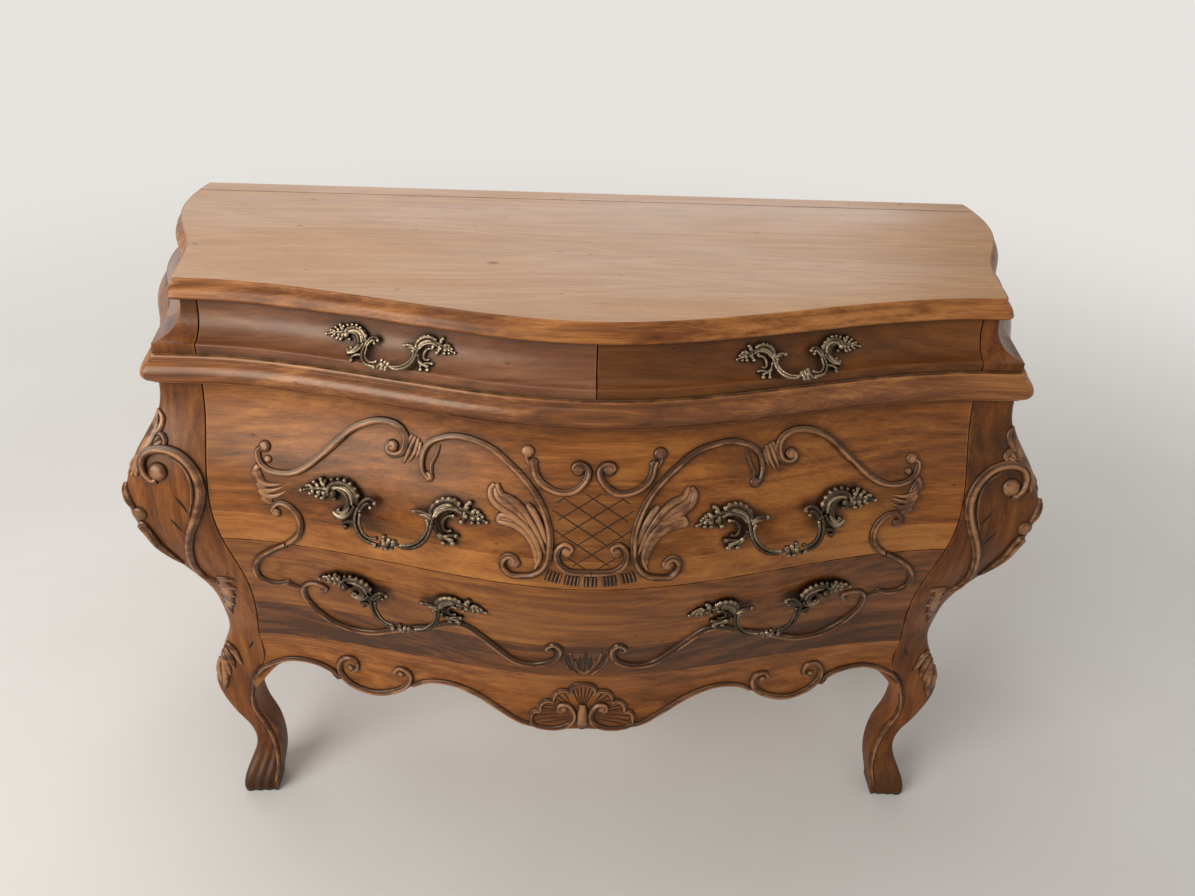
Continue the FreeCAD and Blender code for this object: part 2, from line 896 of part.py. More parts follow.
def pull_body(pull):
    """A cast pull in its own frame: two leaves, two bosses, the bow and a knot in its middle."""
    half = pull.span / 2
    bow = [Vector(u * half, w * pull.drop, n * pull.reach) for u, w, n in PULL_BOW_SHARES]
    path = Part.Wire(spline(bow).toShape())
    start_way = path.Edges[0].tangentAt(path.Edges[0].FirstParameter)
    ring = Part.Wire(Part.makeCircle(pull.rod / 2, bow[0], start_way))
    pieces = [path.makePipeShell([ring], True, False)]
    for side in (-1, 1):
        turn = FreeCAD.Rotation(Vector(1, side * LEAF_TURN_SHARE, 0), CENTRE, UPWARD, "XZY")
        at = Vector(side * half, 0, 0)
        place = FreeCAD.Placement(at, turn)
        pieces.append(ellipsoid(pull.leaf_length, pull.leaf_width, pull.leaf_thick, place))
        start = at - UPWARD * pull.leaf_thick / 2
        end_reach = PULL_BOW_SHARES[0][2] * pull.reach + pull.rod / 2
        pieces.append(Part.makeCylinder(pull.boss / 2, end_reach + pull.leaf_thick / 2, start, UPWARD))
    pieces.append(Part.makeSphere(pull.knot / 2, bow[2]))
    return pieces[0].multiFuse(pieces[1:])


def screw_solids(pull, gap=0):
    """The two screws of a pull in its frame; with a gap, the holes for them."""
    reach = SCREW_BITE_SHARE * pull.reach
    solids = []
    for side in (-1, 1):
        at = Vector(side * pull.span / 2, 0, -size.screw_seat)
        shank = Part.makeCylinder(size.screw_width / 2 + gap, size.screw_seat + reach, at, UPWARD)
        head_run = size.front_thick if gap else size.screw_head_thick
        head = Part.makeCylinder(size.screw_head_width / 2 + gap, head_run, at, -UPWARD)
        solids.append(shank.fuse(head))
    return solids


def fit_pulls(name, front, places, pull):
    """Drill a drawer front, and seat its pulls and screws on it."""
    drilled = front
    screws = []
    for label, x, z in places:
        place = pull_frame(front, x, z, pull.span, pull.drop)
        own = [solid.transformed(place.Matrix) for solid in screw_solids(pull)]
        holes = [solid.transformed(place.Matrix) for solid in screw_solids(pull, size.screw_gap)]
        body = pull_body(pull).transformed(place.Matrix)
        node(label, largest(body.cut([front] + own)))
        drilled = drilled.cut(holes)
        screws += own
    node(f"{name}_front", largest(drilled))
    node(f"{name}_screws", Part.makeCompound(screws))


def pull_sizes(prefix, leaf_prefix):
    names = ("span", "drop", "reach", "rod", "knot", "boss")
    sizes = {name: getattr(size, f"{prefix}_{name}") for name in names}
    leaf_names = ("length", "width", "thick")
    sizes.update({f"leaf_{name}": getattr(size, f"{leaf_prefix}_{name}") for name in leaf_names})
    return SimpleNamespace(**sizes)


large_pull = pull_sizes("pull", "leaf")
small_pull = pull_sizes("small", "small_leaf")
pull_x = PULL_OFFSET_SHARE * size.post_half


def deep_drawer(name, low_z, height, box_low_z, box_height, pull_share):
    """A deep drawer across the whole front, with two pulls."""
    low = Vector(-size.bow_half, ahead_y, low_z + size.drawer_gap / 2)
    high = Vector(size.bow_half, back_y, low_z + height - size.drawer_gap / 2)
    front = body_front.common(between_posts(size.drawer_gap)).common(solid_box(low, high))
    pull_z = low_z + pull_share * height
    places = [(f"{name}_pull_left", -pull_x, pull_z), (f"{name}_pull_right", pull_x, pull_z)]
    fit_pulls(name, front, places, large_pull)
    inside_width = "2 * (sizes.post_half - sizes.post_pinch - sizes.box_gap - sizes.drawer_side)"
    drawer_box(name, -deep_half, deep_half, inside_width, box_low_z, box_height, body_room)


def frieze_drawer(name, side):
    """One of the two small drawers that meet in the middle of the frieze."""
    edges_x = sorted((side * size.drawer_gap / 2, side * (size.post_half - size.drawer_gap)))
    low = Vector(edges_x[0], ahead_y, frieze_z + size.drawer_gap / 2)
    high = Vector(edges_x[1], back_y, top_z - size.drawer_gap / 2)
    front = frieze_front.common(solid_box(low, high))
    pull_z = frieze_z + FRIEZE_PULL_SHARE * size.frieze_height
    fit_pulls(name, front, [(f"{name}_pull", side * pull_x, pull_z)], small_pull)
    inner_x = size.divider_thick / 2 + size.guide_gap
    box_x = sorted((side * inner_x, side * (size.post_half - size.box_gap)))
    inside_width = (
        "sizes.post_half - sizes.box_gap - sizes.divider_thick / 2"
        " - sizes.guide_gap - 2 * sizes.drawer_side"
    )
    height = "sizes.frieze_height - sizes.run_gap - sizes.frieze_head"
    drawer_box(name, box_x[0], box_x[1], inside_width, frieze_z + size.run_gap, height, frieze_room)


frieze_drawer("frieze_drawer_left", -1)
frieze_drawer("frieze_drawer_right", 1)
deep_drawer(
    "upper_drawer",
    divide_z,
    size.upper_height,
    divide_z + size.rail_thick / 2 + size.run_gap,
    "sizes.upper_height - sizes.rail_thick / 2 - sizes.run_gap - sizes.box_head",
    UPPER_PULL_SHARE,
)
deep_drawer(
    "lower_drawer",
    size.leg_height,
    size.lower_height,
    size.leg_height + size.run_gap,
    "sizes.lower_height - sizes.rail_thick / 2 - sizes.run_gap - sizes.box_head",
    LOWER_PULL_SHARE,
)

# Check every piece, then write each to its own file
doc.recompute()
for thing in doc.Objects:
    if "Invalid" in thing.State or "Error" in thing.State:
        raise RuntimeError(f"{thing.Label} failed: {thing.State}")
for piece in nodes:
    if piece.Shape.isNull() or not piece.Shape.isValid() or not piece.Shape.Solids:
        raise RuntimeError(f"{piece.Label} is not a valid solid")
os.makedirs("parts", exist_ok=True)
for piece in nodes:
    piece.Shape.exportStep(f"parts/{piece.Label}.step")
print(len(nodes), "pieces written")
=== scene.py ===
# %% [markdown]
# A bombe chest is a chest of drawers whose front and sides swell like a bell. The solids come from
# the CAD frame, and this lesson dresses them: walnut, carved scrolls, and cast pulls. The frame is
# loaded first, because everything after it is fitted to its boxes and surfaces.

# %% Load the frame
import json
import math
import bmesh
import bpy
import numpy as np
from mathutils import Matrix, Vector
from mathutils.bvhtree import BVHTree

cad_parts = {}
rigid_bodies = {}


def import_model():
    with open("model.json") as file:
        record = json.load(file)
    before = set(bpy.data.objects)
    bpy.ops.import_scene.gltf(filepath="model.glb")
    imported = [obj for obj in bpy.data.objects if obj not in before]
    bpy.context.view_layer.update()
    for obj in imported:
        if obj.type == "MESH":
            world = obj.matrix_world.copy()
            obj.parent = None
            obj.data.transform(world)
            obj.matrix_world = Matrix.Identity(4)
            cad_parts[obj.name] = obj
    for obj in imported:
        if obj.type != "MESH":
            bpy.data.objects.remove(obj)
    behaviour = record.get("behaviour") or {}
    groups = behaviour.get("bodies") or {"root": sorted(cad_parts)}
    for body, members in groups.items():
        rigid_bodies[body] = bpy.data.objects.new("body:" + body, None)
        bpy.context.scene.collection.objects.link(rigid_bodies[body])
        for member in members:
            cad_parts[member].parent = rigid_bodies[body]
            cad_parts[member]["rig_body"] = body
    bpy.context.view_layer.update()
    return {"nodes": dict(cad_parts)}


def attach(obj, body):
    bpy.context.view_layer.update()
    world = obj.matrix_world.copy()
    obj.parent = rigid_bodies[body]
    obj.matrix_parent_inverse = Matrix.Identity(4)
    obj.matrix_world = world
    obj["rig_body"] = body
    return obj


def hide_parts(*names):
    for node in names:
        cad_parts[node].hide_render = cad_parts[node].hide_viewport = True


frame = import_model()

nodes = frame["nodes"]
scene = bpy.context.scene
print("pieces in the frame:", len(nodes))

# %% [markdown]
# The camera stands where the photographer stood: in front and well above the chest, looking down
# at its top. It could be placed by eye, but its place was worked out from the chest's own
# symmetry, so that the carving's lines can be read off the picture and cast back along its rays.

# %% Camera
PHOTO_WIDTH = 1195
PHOTO_HEIGHT = 896
FOCAL_PIXELS = 1039.05
SENSOR_WIDTH = 36.0
CAMERA_PLACE = Vector((-0.0457, -1.2275, 1.3696))
CAMERA_YAW = math.radians(-2.744)
CAMERA_PITCH = math.radians(33.086)
CAMERA_ROLL = math.radians(2.617)
NEAREST_SEEN = 0.05


def camera_axes():
    """The camera's right, up and forward directions."""
    level_right = Vector((math.cos(CAMERA_YAW), math.sin(CAMERA_YAW), 0))
    level_ahead = Vector((-math.sin(CAMERA_YAW), math.cos(CAMERA_YAW), 0))
    ahead = level_ahead * math.cos(CAMERA_PITCH) - Vector((0, 0, math.sin(CAMERA_PITCH)))
    level_up = Vector((0, 0, math.cos(CAMERA_PITCH))) + level_ahead * math.sin(CAMERA_PITCH)
    right = level_right * math.cos(CAMERA_ROLL) + level_up * math.sin(CAMERA_ROLL)
    up = level_up * math.cos(CAMERA_ROLL) - level_right * math.sin(CAMERA_ROLL)
    return right, up, ahead


TO_RIGHT, TO_TOP, AHEAD = camera_axes()
lens = bpy.data.cameras.new("photographer")
lens.sensor_fit = "HORIZONTAL"
lens.sensor_width = SENSOR_WIDTH
lens.lens = FOCAL_PIXELS / PHOTO_WIDTH * SENSOR_WIDTH
lens.clip_start = NEAREST_SEEN
camera = bpy.data.objects.new("photographer", lens)
turn = Matrix((TO_RIGHT, TO_TOP, -AHEAD)).transposed()
camera.matrix_world = Matrix.Translation(CAMERA_PLACE) @ turn.to_4x4()
scene.collection.objects.link(camera)
scene.camera = camera
print("lens in millimetres:", round(lens.lens, 2))

# %% [markdown]
# A material and a set of Geometry Nodes are both trees of nodes. They could be drawn by hand in the
# editor, but a script gives the same tree each time. A small helper class keeps that short: it
# adds a node, feeds its inputs by name and hands back an output.

# %% Helper for node trees
class NodeTree:
    """Adds nodes to a tree and joins them."""

    def __init__(self, tree):
        self.tree = tree

    def add(self, kind, **settings):
        """A new node with some of its settings changed."""
        node = self.tree.nodes.new(kind)
        for key, value in settings.items():
            setattr(node, key, value)
        return node

    def feed(self, socket, value):
        """Join a socket to another, or set its number or colour."""
        if isinstance(value, bpy.types.NodeSocket):
            self.tree.links.new(value, socket)
        else:
            socket.default_value = value

    def wire(self, node, inputs):
        """Feed inputs of a node by name."""
        for name, value in inputs.items():
            self.feed(node.inputs[name], value)

    def wired(self, kind, output, inputs, **settings):
        """One output of a new node whose inputs are fed by name."""
        node = self.add(kind, **settings)
        self.wire(node, inputs)
        return node.outputs[output]

    def maths(self, operation, first, second=0.0, third=0.0):
        """The result of one step of arithmetic."""
        node = self.add("ShaderNodeMath", operation=operation)
        for socket, value in zip(node.inputs, (first, second, third)):
            self.feed(socket, value)
        return node.outputs["Value"]

    def span(self, value, low, high, new_low=0.0, new_high=1.0):
        """Map a range of a value to another, smoothly and clamped."""
        inputs = {"Value": value, "From Min": low, "From Max": high, "To Min": new_low, "To Max": new_high}
        return self.wired("ShaderNodeMapRange", "Result", inputs, interpolation_type="SMOOTHSTEP")


print("node helper ready")

# %% [markdown]
# A finish is a material that reads as a list of layers: grain, pores, wax, dirt and wear. Painted
# images could hold them, but every piece would need its own. Patterns that are worked out from a
# piece's own coordinates fit any piece and never run out.

# %% Helper for finishes
# The Mix node has sockets of every kind under the same names, so its colours go by number
MIX_INPUTS = (0, 6, 7)
MIX_OUTPUT = 2
# Most values of a noise lie in this range
NOISE_RANGE = (0.3, 0.7)
# Rays that feel how hemmed in a point is
HOLLOW_RAYS = 8
# The share of a speck's radius that is fully dark
SPECK_CORE = 0.4


class Finish(NodeTree):
    """A material that is put together from layers of nodes."""

    def __init__(self, name):
        self.material = bpy.data.materials.new(name)
        self.material.use_nodes = True
        super().__init__(self.material.node_tree)
        self.tree.nodes.clear()
        self.shader = self.add("ShaderNodeBsdfPrincipled")
        self.surface = self.add("ShaderNodeOutputMaterial").inputs["Surface"]
        self.feed(self.surface, self.shader.outputs["BSDF"])
        self.place = self.add("ShaderNodeTexCoord").outputs["Object"]

    def stretched(self, scale, shift=(0, 0, 0)):
        """Object coordinates, shifted and stretched for one layer."""
        inputs = {"Vector": self.place, "Location": shift, "Scale": scale}
        return self.wired("ShaderNodeMapping", "Vector", inputs)

    def noise(self, vector, scale, detail, roughness=0.5, bend=0.0):
        """Soft random patches from 0 to 1."""
        inputs = {"Vector": vector, "Scale": scale, "Detail": detail}
        inputs.update({"Roughness": roughness, "Distortion": bend})
        return self.wired("ShaderNodeTexNoise", "Fac", inputs)

    def blend(self, share, first, second):
        """A share of the second colour over the first."""
        node = self.add("ShaderNodeMix", data_type="RGBA")
        for number, value in zip(MIX_INPUTS, (share, first, second)):
            self.feed(node.inputs[number], value)
        return node.outputs[MIX_OUTPUT]

    def ramp(self, value, places, tones):
        """The colour of a value on a scale of tones."""
        node = self.add("ShaderNodeValToRGB")
        elements = node.color_ramp.elements
        while len(elements) < len(tones):
            elements.new(0.5)
        for element, place, tone in zip(elements, places, tones):
            element.position = place
            element.color = tone
        self.feed(node.inputs["Fac"], value)
        return node.outputs["Color"]

    def hollows(self, reach, inside=False):
        """How much a point is hemmed in, or with inside, how close it is to an outer edge."""
        settings = {"inside": inside, "samples": HOLLOW_RAYS}
        clear = self.wired("ShaderNodeAmbientOcclusion", "AO", {"Distance": reach}, **settings)
        return self.maths("SUBTRACT", 1.0, clear)

    def axis(self, number):
        """One of the three object coordinates."""
        return self.wired("ShaderNodeSeparateXYZ", number, {"Vector": self.place})

    def own(self, attribute):
        """A number that the mesh carries at each of its points."""
        return self.add("ShaderNodeAttribute", attribute_name=attribute).outputs["Fac"]

    def facing_up(self):
        """How far a face looks up, from -1 to 1."""
        normal = self.add("ShaderNodeNewGeometry").outputs["Normal"]
        return self.wired("ShaderNodeSeparateXYZ", "Z", {"Vector": normal})

    def specks(self, vector, share, size):
        """Small marks in a share of the cells of a cell pattern."""
        cells = self.add("ShaderNodeTexVoronoi")
        self.wire(cells, {"Vector": vector, "Scale": 1.0})
        lot = self.wired("ShaderNodeSeparateColor", "Red", {"Color": cells.outputs["Color"]})
        chosen = self.maths("LESS_THAN", lot, share)
        spot = self.span(cells.outputs["Distance"], SPECK_CORE * size, size, 1.0, 0.0)
        return self.maths("MULTIPLY", spot, chosen)

    def bump(self, height, strength, distance):
        """Let the light see a height that the mesh does not have."""
        inputs = {"Strength": strength, "Distance": distance, "Height": height}
        self.feed(self.shader.inputs["Normal"], self.wired("ShaderNodeBump", "Normal", inputs))


def paint(red, green, blue):
    """A colour given as it looks on a screen, from 0 to 255, as linear light."""
    def linear(value):
        share = value / 255
        return share / 12.92 if share <= 0.04045 else ((share + 0.055) / 1.055) ** 2.4
    return (linear(red), linear(green), linear(blue), 1.0)


print("finish layers ready")

# %% [markdown]
# Old walnut is warm brown with darker growth rings, short pores along the grain, dirt that has
# settled in the hollows and pale edges where hands have rubbed the wax away. A wave texture gives
# rings that are too regular, so the rings here are the contour lines of a noise that is stretched
# along the grain. The darkening in hollows, which is dirt and painted shade, comes from how hemmed
# in a point is, and wear from how exposed it is. On carving, the foot of each ridge takes painted
# shade and dirt, and its crest takes a painted highlight and wear.

# %% Walnut
# The axes across, to the back and up
ACROSS, BACK, UP = range(3)
# Each layer of the grain: its scale along and across the board, detail, roughness and bend
FIGURE = ((1.1, 8.0), 3.0, 0.5, 0.6)
STREAK = ((2.2, 100.0), 4.0, 0.6, 0.0)
FIBRE = ((14.0, 400.0), 3.0, 0.6, 0.0)
PORES = ((70.0, 1300.0), 1.0, 0.5, 0.0)
CLOUD = ((2.2, 7.0), 2.0, 0.5, 0.3)
RING_COUNT = 11.0
RING_FOLD = 0.5
# Dashes and knots: scale along and across, share of the cells that have one, radius and depth
MARKS = (((26.0, 75.0), 0.1, 0.13, 0.75), ((9.0, 16.0), 0.10, 0.10, 0.5))
# How much each layer counts in the tone, and where the three tones lie on that scale
FIBRE_WEIGHT = 0.26
RING_WEIGHT = 0.20
STREAK_WEIGHT = 0.34
CLOUD_WEIGHT = 0.44
TONE_STOPS = (0.40, 0.56, 0.74)
# The range over which each effect comes in or fades out
PORE_RANGE = (0.58, 0.72)
DIRT_AND_SHADE_RANGE = (0.06, 0.45)
WEAR_RANGE = (0.14, 0.5)
STAIN_RANGE = (0.35, 1.5)
PATCH_RANGE = (0.36, 0.62)
# On carving: where the foot of a ridge takes painted shade and dirt, and where its crest takes a painted
# highlight and wear
VALLEY_RANGE = (-0.1, 0.72)
CREST_RANGE = (0.7, 1.0)
UPWARD_RANGE = (0.8, 0.97)
# How far around a point the dirt and painted shade look for hollows, and wear for edges
DIRT_AND_SHADE_REACH = 0.022
WEAR_REACH = 0.005
# Scale and detail of the patches that break up wear and stains
PATCHES = (38.0, 3.0)
# How far the patches break up the edge of a stain
STAIN_RAGGED = 0.9
# The share of a glue line's half width, and of a worn foot's height, that is fully dark
SEAM_CORE = 0.4
FOOT_CORE = 0.2
FOOT_DIRT = 0.7
# How much pores darken the wood, and how deep they are next to the fibres
PORE_SHARE = 0.3
PORE_DEPTH = -0.6
# Strength and height of the grain's bump
GRAIN_BUMP = (0.12, 0.0006)
# How far wax takes the roughness down, how far dull spots raise it, and how much dirt and painted shade add
WAXED = 0.06
DULLED = 0.1
DIRT_DULLS = 0.2
# The dark that dirt and patina take, also used for painted shade
PATINA_AND_SHADE = paint(30, 15, 7)
WAX_SHINE = 0.32
WAX_TINT = (1.0, 0.86, 0.7, 1.0)


def seamed(wood, seams, tone, dirt_and_shade_mask):
    """The tone, changed past each glue line, and the darkening of dirt and painted shade, with a line along
    each.
    """
    for number, place, step, half, depth in seams:
        across = wood.axis(number)
        tone = wood.maths("MULTIPLY_ADD", wood.maths("LESS_THAN", across, place), step, tone)
        gap = wood.maths("ABSOLUTE", wood.maths("SUBTRACT", across, place))
        dirt_and_shade_mask = wood.maths("MAXIMUM", dirt_and_shade_mask, wood.span(gap, SEAM_CORE * half, half, depth, 0.0))
    return tone, dirt_and_shade_mask


def stained_and_shaded(wood, stains_and_shade, patchy, dirt_and_shade_mask):
    """The darkening of dirt and painted shade, with ragged ovals added, stains on the fronts and painted
    shade on the right post, alike on both halves of the front.
    """
    for x, z, half_x, half_z, depth in stains_and_shade:
        off_middle = wood.maths("ABSOLUTE", wood.axis(ACROSS))
        off_x = wood.maths("DIVIDE", wood.maths("SUBTRACT", off_middle, x), half_x)
        off_z = wood.maths("DIVIDE", wood.maths("SUBTRACT", wood.axis(UP), z), half_z)
        away = wood.maths("MULTIPLY_ADD", off_x, off_x, wood.maths("MULTIPLY", off_z, off_z))
        ragged = wood.maths("MULTIPLY_ADD", patchy, STAIN_RAGGED, away)
        dirt_and_shade_mask = wood.maths("MAXIMUM", dirt_and_shade_mask, wood.span(ragged, *STAIN_RANGE, depth, 0.0))
    return dirt_and_shade_mask


def walnut(
    name, tones, run="X", shift=(0, 0, 0), dirt_and_shade_depth=0.85, wear=0.5, gloss=0.34, seams=(), faded=None,
    scuffed=0.0, carving=False, stains_and_shade=(), shine=WAX_SHINE,
):
    """A waxed walnut in three tones, dark to pale, whose grain runs along one axis."""
    wood = Finish(name)

    def along_grain(scale):
        return wood.stretched([scale[0] if axis == run else scale[1] for axis in "XYZ"], shift)

    def layer(scale, detail, roughness, bend):
        return wood.noise(along_grain(scale), 1.0, detail, roughness, bend)

    rings = wood.maths("PINGPONG", wood.maths("MULTIPLY", layer(*FIGURE), RING_COUNT), RING_FOLD)
    fibre = layer(*FIBRE)
    pores = wood.span(layer(*PORES), *PORE_RANGE)
    cloud = layer(*CLOUD)
    tone = wood.maths("MULTIPLY", fibre, FIBRE_WEIGHT)
    for part, weight in ((rings, RING_WEIGHT), (layer(*STREAK), STREAK_WEIGHT), (cloud, CLOUD_WEIGHT)):
        tone = wood.maths("MULTIPLY_ADD", part, weight, tone)
    # Hollows darken: dirt that settles there, and painted shade
    dirt_and_shade_mask = wood.span(wood.hollows(DIRT_AND_SHADE_REACH), *DIRT_AND_SHADE_RANGE, 0.0, dirt_and_shade_depth)
    for scale, share, radius, depth in MARKS:
        mark = wood.specks(along_grain(scale), share, radius)
        dirt_and_shade_mask = wood.maths("MAXIMUM", dirt_and_shade_mask, wood.maths("MULTIPLY", mark, depth))
    wear_and_crest_highlight = wood.span(wood.hollows(WEAR_REACH, True), *WEAR_RANGE, 0.0, wear)
    tone, dirt_and_shade_mask = seamed(wood, seams, tone, dirt_and_shade_mask)
    patchy = wood.noise(wood.place, *PATCHES)
    dirt_and_shade_mask = stained_and_shaded(wood, stains_and_shade, patchy, dirt_and_shade_mask)
    if scuffed:
        worn_foot = wood.span(wood.axis(UP), FOOT_CORE * scuffed, scuffed, FOOT_DIRT, 0.0)
        dirt_and_shade_mask = wood.maths("MAXIMUM", dirt_and_shade_mask, worn_foot)
    # On carving the foot of each ridge is darkened as painted shade and dirt, and its crest is paled as a
    # painted highlight and wear
    if carving:
        crest = wood.own("crest")
        dirt_and_shade_mask = wood.maths("MAXIMUM", dirt_and_shade_mask, wood.span(crest, *VALLEY_RANGE, dirt_and_shade_depth, 0.0))
        wear_and_crest_highlight = wood.span(crest, *CREST_RANGE, 0.0, wear)
    colour = wood.ramp(tone, TONE_STOPS, tones)
    if faded:
        upward = wood.span(wood.facing_up(), *UPWARD_RANGE)
        colour = wood.blend(upward, colour, wood.ramp(tone, TONE_STOPS, faded))
    dark, pale = tones[0], tones[-1]
    colour = wood.blend(wood.maths("MULTIPLY", pores, PORE_SHARE), colour, dark)
    colour = wood.blend(dirt_and_shade_mask, colour, PATINA_AND_SHADE)
    wear_and_crest_highlight = wood.maths("MULTIPLY", wear_and_crest_highlight, wood.span(patchy, *PATCH_RANGE))
    colour = wood.blend(wear_and_crest_highlight, colour, pale)
    waxed = wood.span(cloud, *NOISE_RANGE, gloss - WAXED, gloss + DULLED)
    wood.wire(wood.shader, {
        "Base Color": colour,
        "Specular IOR Level": shine,
        "Specular Tint": WAX_TINT,
        "Roughness": wood.maths("MULTIPLY_ADD", dirt_and_shade_mask, DIRT_DULLS, waxed),
    })
    wood.bump(wood.maths("MULTIPLY_ADD", pores, PORE_DEPTH, fibre), *GRAIN_BUMP)
    return wood.material


print("walnut ready")

# %% [markdown]
# The boards differ: the drawer fronts are warm, the frieze is greyer and the top has faded in the
# light. The right frieze drawer is a warmer board, darkened too as painted shade, and the right-hand
# post is a darker copy of the post's walnut with ovals of painted shade, for the side away from the
# light. One finish for all would be quicker, but then every board would show the same figure. Each
# finish here has its own tones and its own shift of the grain. Glue lines and old stains are set
# where the fronts show them.

# %% Walnut of each board
WALNUT = (paint(72, 36, 12), paint(128, 73, 29), paint(168, 107, 50))
LOWER_TONES = (paint(62, 30, 9), paint(113, 63, 24), paint(152, 95, 42))
POST_TONES = (paint(58, 27, 8), paint(106, 56, 18), paint(142, 85, 34))
SHADED_POST_TONES = (paint(56, 25, 6), paint(104, 54, 15), paint(142, 84, 30))
FRIEZE_TONES = (paint(76, 40, 21), paint(106, 62, 37), paint(136, 88, 56))
WARM_SHADED_FRIEZE_TONES = (paint(62, 30, 8), paint(92, 49, 15), paint(122, 71, 27))
MOULDING_TONES = (paint(64, 31, 12), paint(112, 62, 26), paint(172, 112, 60))
FADED_TONES = (paint(131, 89, 50), paint(149, 104, 61), paint(167, 124, 80))
INNER_TONES = (paint(146, 112, 76), paint(178, 142, 100), paint(200, 168, 126))
# Each oval, a stain on the fronts and painted shade on the right post: its middle across and up, half its
# width and height, and its depth
CARTOUCHE_STAINS = [
    (0.0, 0.60, 0.14, 0.095, 0.4),
    (0.385, 0.61, 0.05, 0.06, 0.4),
    (0.19, 0.672, 0.06, 0.03, 0.4),
]
# Ovals of painted shade on the right post, which faces away from the light: under the moulding and lower
# down
RIGHT_POST_SHADE = [
    (0.535, 0.655, 0.09, 0.075, 0.55),
    (0.465, 0.29, 0.07, 0.07, 0.5),
    (0.47, 0.06, 0.1, 0.07, 0.5),
]
PALMETTE_STAIN = [(0.0, 0.405, 0.05, 0.03, 0.4), (0.30, 0.445, 0.06, 0.03, 0.25)]
GLUE_LINE = 0.0011
STRIP_GAP = 0.0022
# Each seam: its axis and place, the step in tone, half its width and its depth
UPPER_SEAM = (UP, 0.568, 0.10, GLUE_LINE, 0.2)
LOWER_SEAM = (UP, 0.3888, -0.13, GLUE_LINE, 0.5)
TOP_SEAM = (BACK, 0.02, 0.03, GLUE_LINE, 0.3)
WORN_FOOT = 0.09
upper_walnut = walnut("upper_walnut", WALNUT, seams=[UPPER_SEAM], stains_and_shade=CARTOUCHE_STAINS)
lower_walnut = walnut(
    "lower_walnut", LOWER_TONES, shift=(0.4, 3.0, 2.0), seams=[LOWER_SEAM], stains_and_shade=PALMETTE_STAIN,
)
front_walnut = walnut("front_walnut", WALNUT, shift=(6.4, 1.0, 5.0))
frieze_walnut = walnut("frieze_walnut", FRIEZE_TONES, shift=(2.7, 4.0, 9.0), gloss=0.36, shine=0.5)
# The right frieze drawer is a warmer board, and its darker tones are also painted shade for the side away
# from the light
warm_shaded_frieze_walnut = walnut(
    "warm_shaded_frieze_walnut", WARM_SHADED_FRIEZE_TONES, shift=(5.7, 2.0, 3.0), gloss=0.36, shine=0.36,
)
post_walnut = walnut("post_walnut", POST_TONES, "Z", (3.1, 0.4, 1.2), scuffed=WORN_FOOT)
# The right post is a darker copy of the post walnut with ovals of painted shade, for the side away from the
# light
right_post_walnut = walnut(
    "right_post_walnut", SHADED_POST_TONES, "Z", (7.6, 2.4, 3.2), scuffed=WORN_FOOT, stains_and_shade=RIGHT_POST_SHADE,
)
moulding_walnut = walnut(
    "moulding_walnut", MOULDING_TONES, shift=(5.3, 2.1, 0.7), wear=0.8, gloss=0.28, shine=0.5,
)
side_walnut = walnut("side_walnut", WALNUT, "Y", (1.9, 6.2, 4.4))
frieze_side_walnut = walnut("frieze_side_walnut", FRIEZE_TONES, "Y", (3.9, 5.2, 1.4), shine=0.6)
moulding_side_walnut = walnut("moulding_side_walnut", MOULDING_TONES, "Y", (2.9, 1.2, 6.4), shine=0.5)
strip_front = min(corner.co.y for corner in nodes["top_rear_strip"].data.vertices)
strip_seam = (BACK, strip_front, 0.0, STRIP_GAP, 0.8)
top_walnut = walnut(
    "top_walnut", MOULDING_TONES, shift=(8.2, 3.3, 1.1), dirt_and_shade_depth=0.8, gloss=0.33,
    seams=[strip_seam, TOP_SEAM], faded=FADED_TONES,
)
UNWAXED = {"dirt_and_shade_depth": 0.5, "wear": 0.1, "gloss": 0.62}
inner_wood = walnut("inner_wood", INNER_TONES, "X", (2.2, 7.7, 0.3), **UNWAXED)
inner_side_wood = walnut("inner_side_wood", INNER_TONES, "Y", (4.1, 2.6, 5.5), **UNWAXED)
print("walnut finishes made; the rear strip starts at", round(strip_front, 4))

# %% [markdown]
# The frame's own pieces keep their meshes, and each gets the walnut whose grain runs the way its
# board was cut. Pieces inside are a paler, unwaxed wood, and the screws are bright steel. A list
# could give every piece its finish, but a piece's name already says what it is, so a short rule
# reads the finish off the name.

# %% Dress the frame's pieces
# Fine scratches that run along a screw
SCUFFS = (900.0, 60.0, 900.0)
SCUFF_DETAIL = 3.0
SCUFF_BUMP = (0.2, 0.0002)
STEEL_TONES = (paint(118, 116, 112), paint(158, 157, 153))
STEEL_ROUGHNESS = (0.3, 0.5)
steel = Finish("screw_steel")
scuffs = steel.noise(steel.stretched(SCUFFS), 1.0, SCUFF_DETAIL)
steel.wire(steel.shader, {
    "Base Color": steel.ramp(scuffs, NOISE_RANGE, STEEL_TONES),
    "Metallic": 1.0,
    "Roughness": steel.span(scuffs, *NOISE_RANGE, *STEEL_ROUGHNESS),
})
steel.bump(scuffs, *SCUFF_BUMP)
PIECE_FINISHES = {
    "top_board": top_walnut,
    "top_rear_strip": top_walnut,
    "waist_moulding_front": moulding_walnut,
    "apron": front_walnut,
    "frieze_drawer_right_front": warm_shaded_frieze_walnut,
    "upper_drawer_front": upper_walnut,
    "lower_drawer_front": lower_walnut,
}
SIDE_FINISHES = {
    "waist_moulding": moulding_side_walnut,
    "frieze_side": frieze_side_walnut,
    "side_panel": side_walnut,
}
FRONT_TO_BACK = ("_side_", "runner", "guide", "divider")


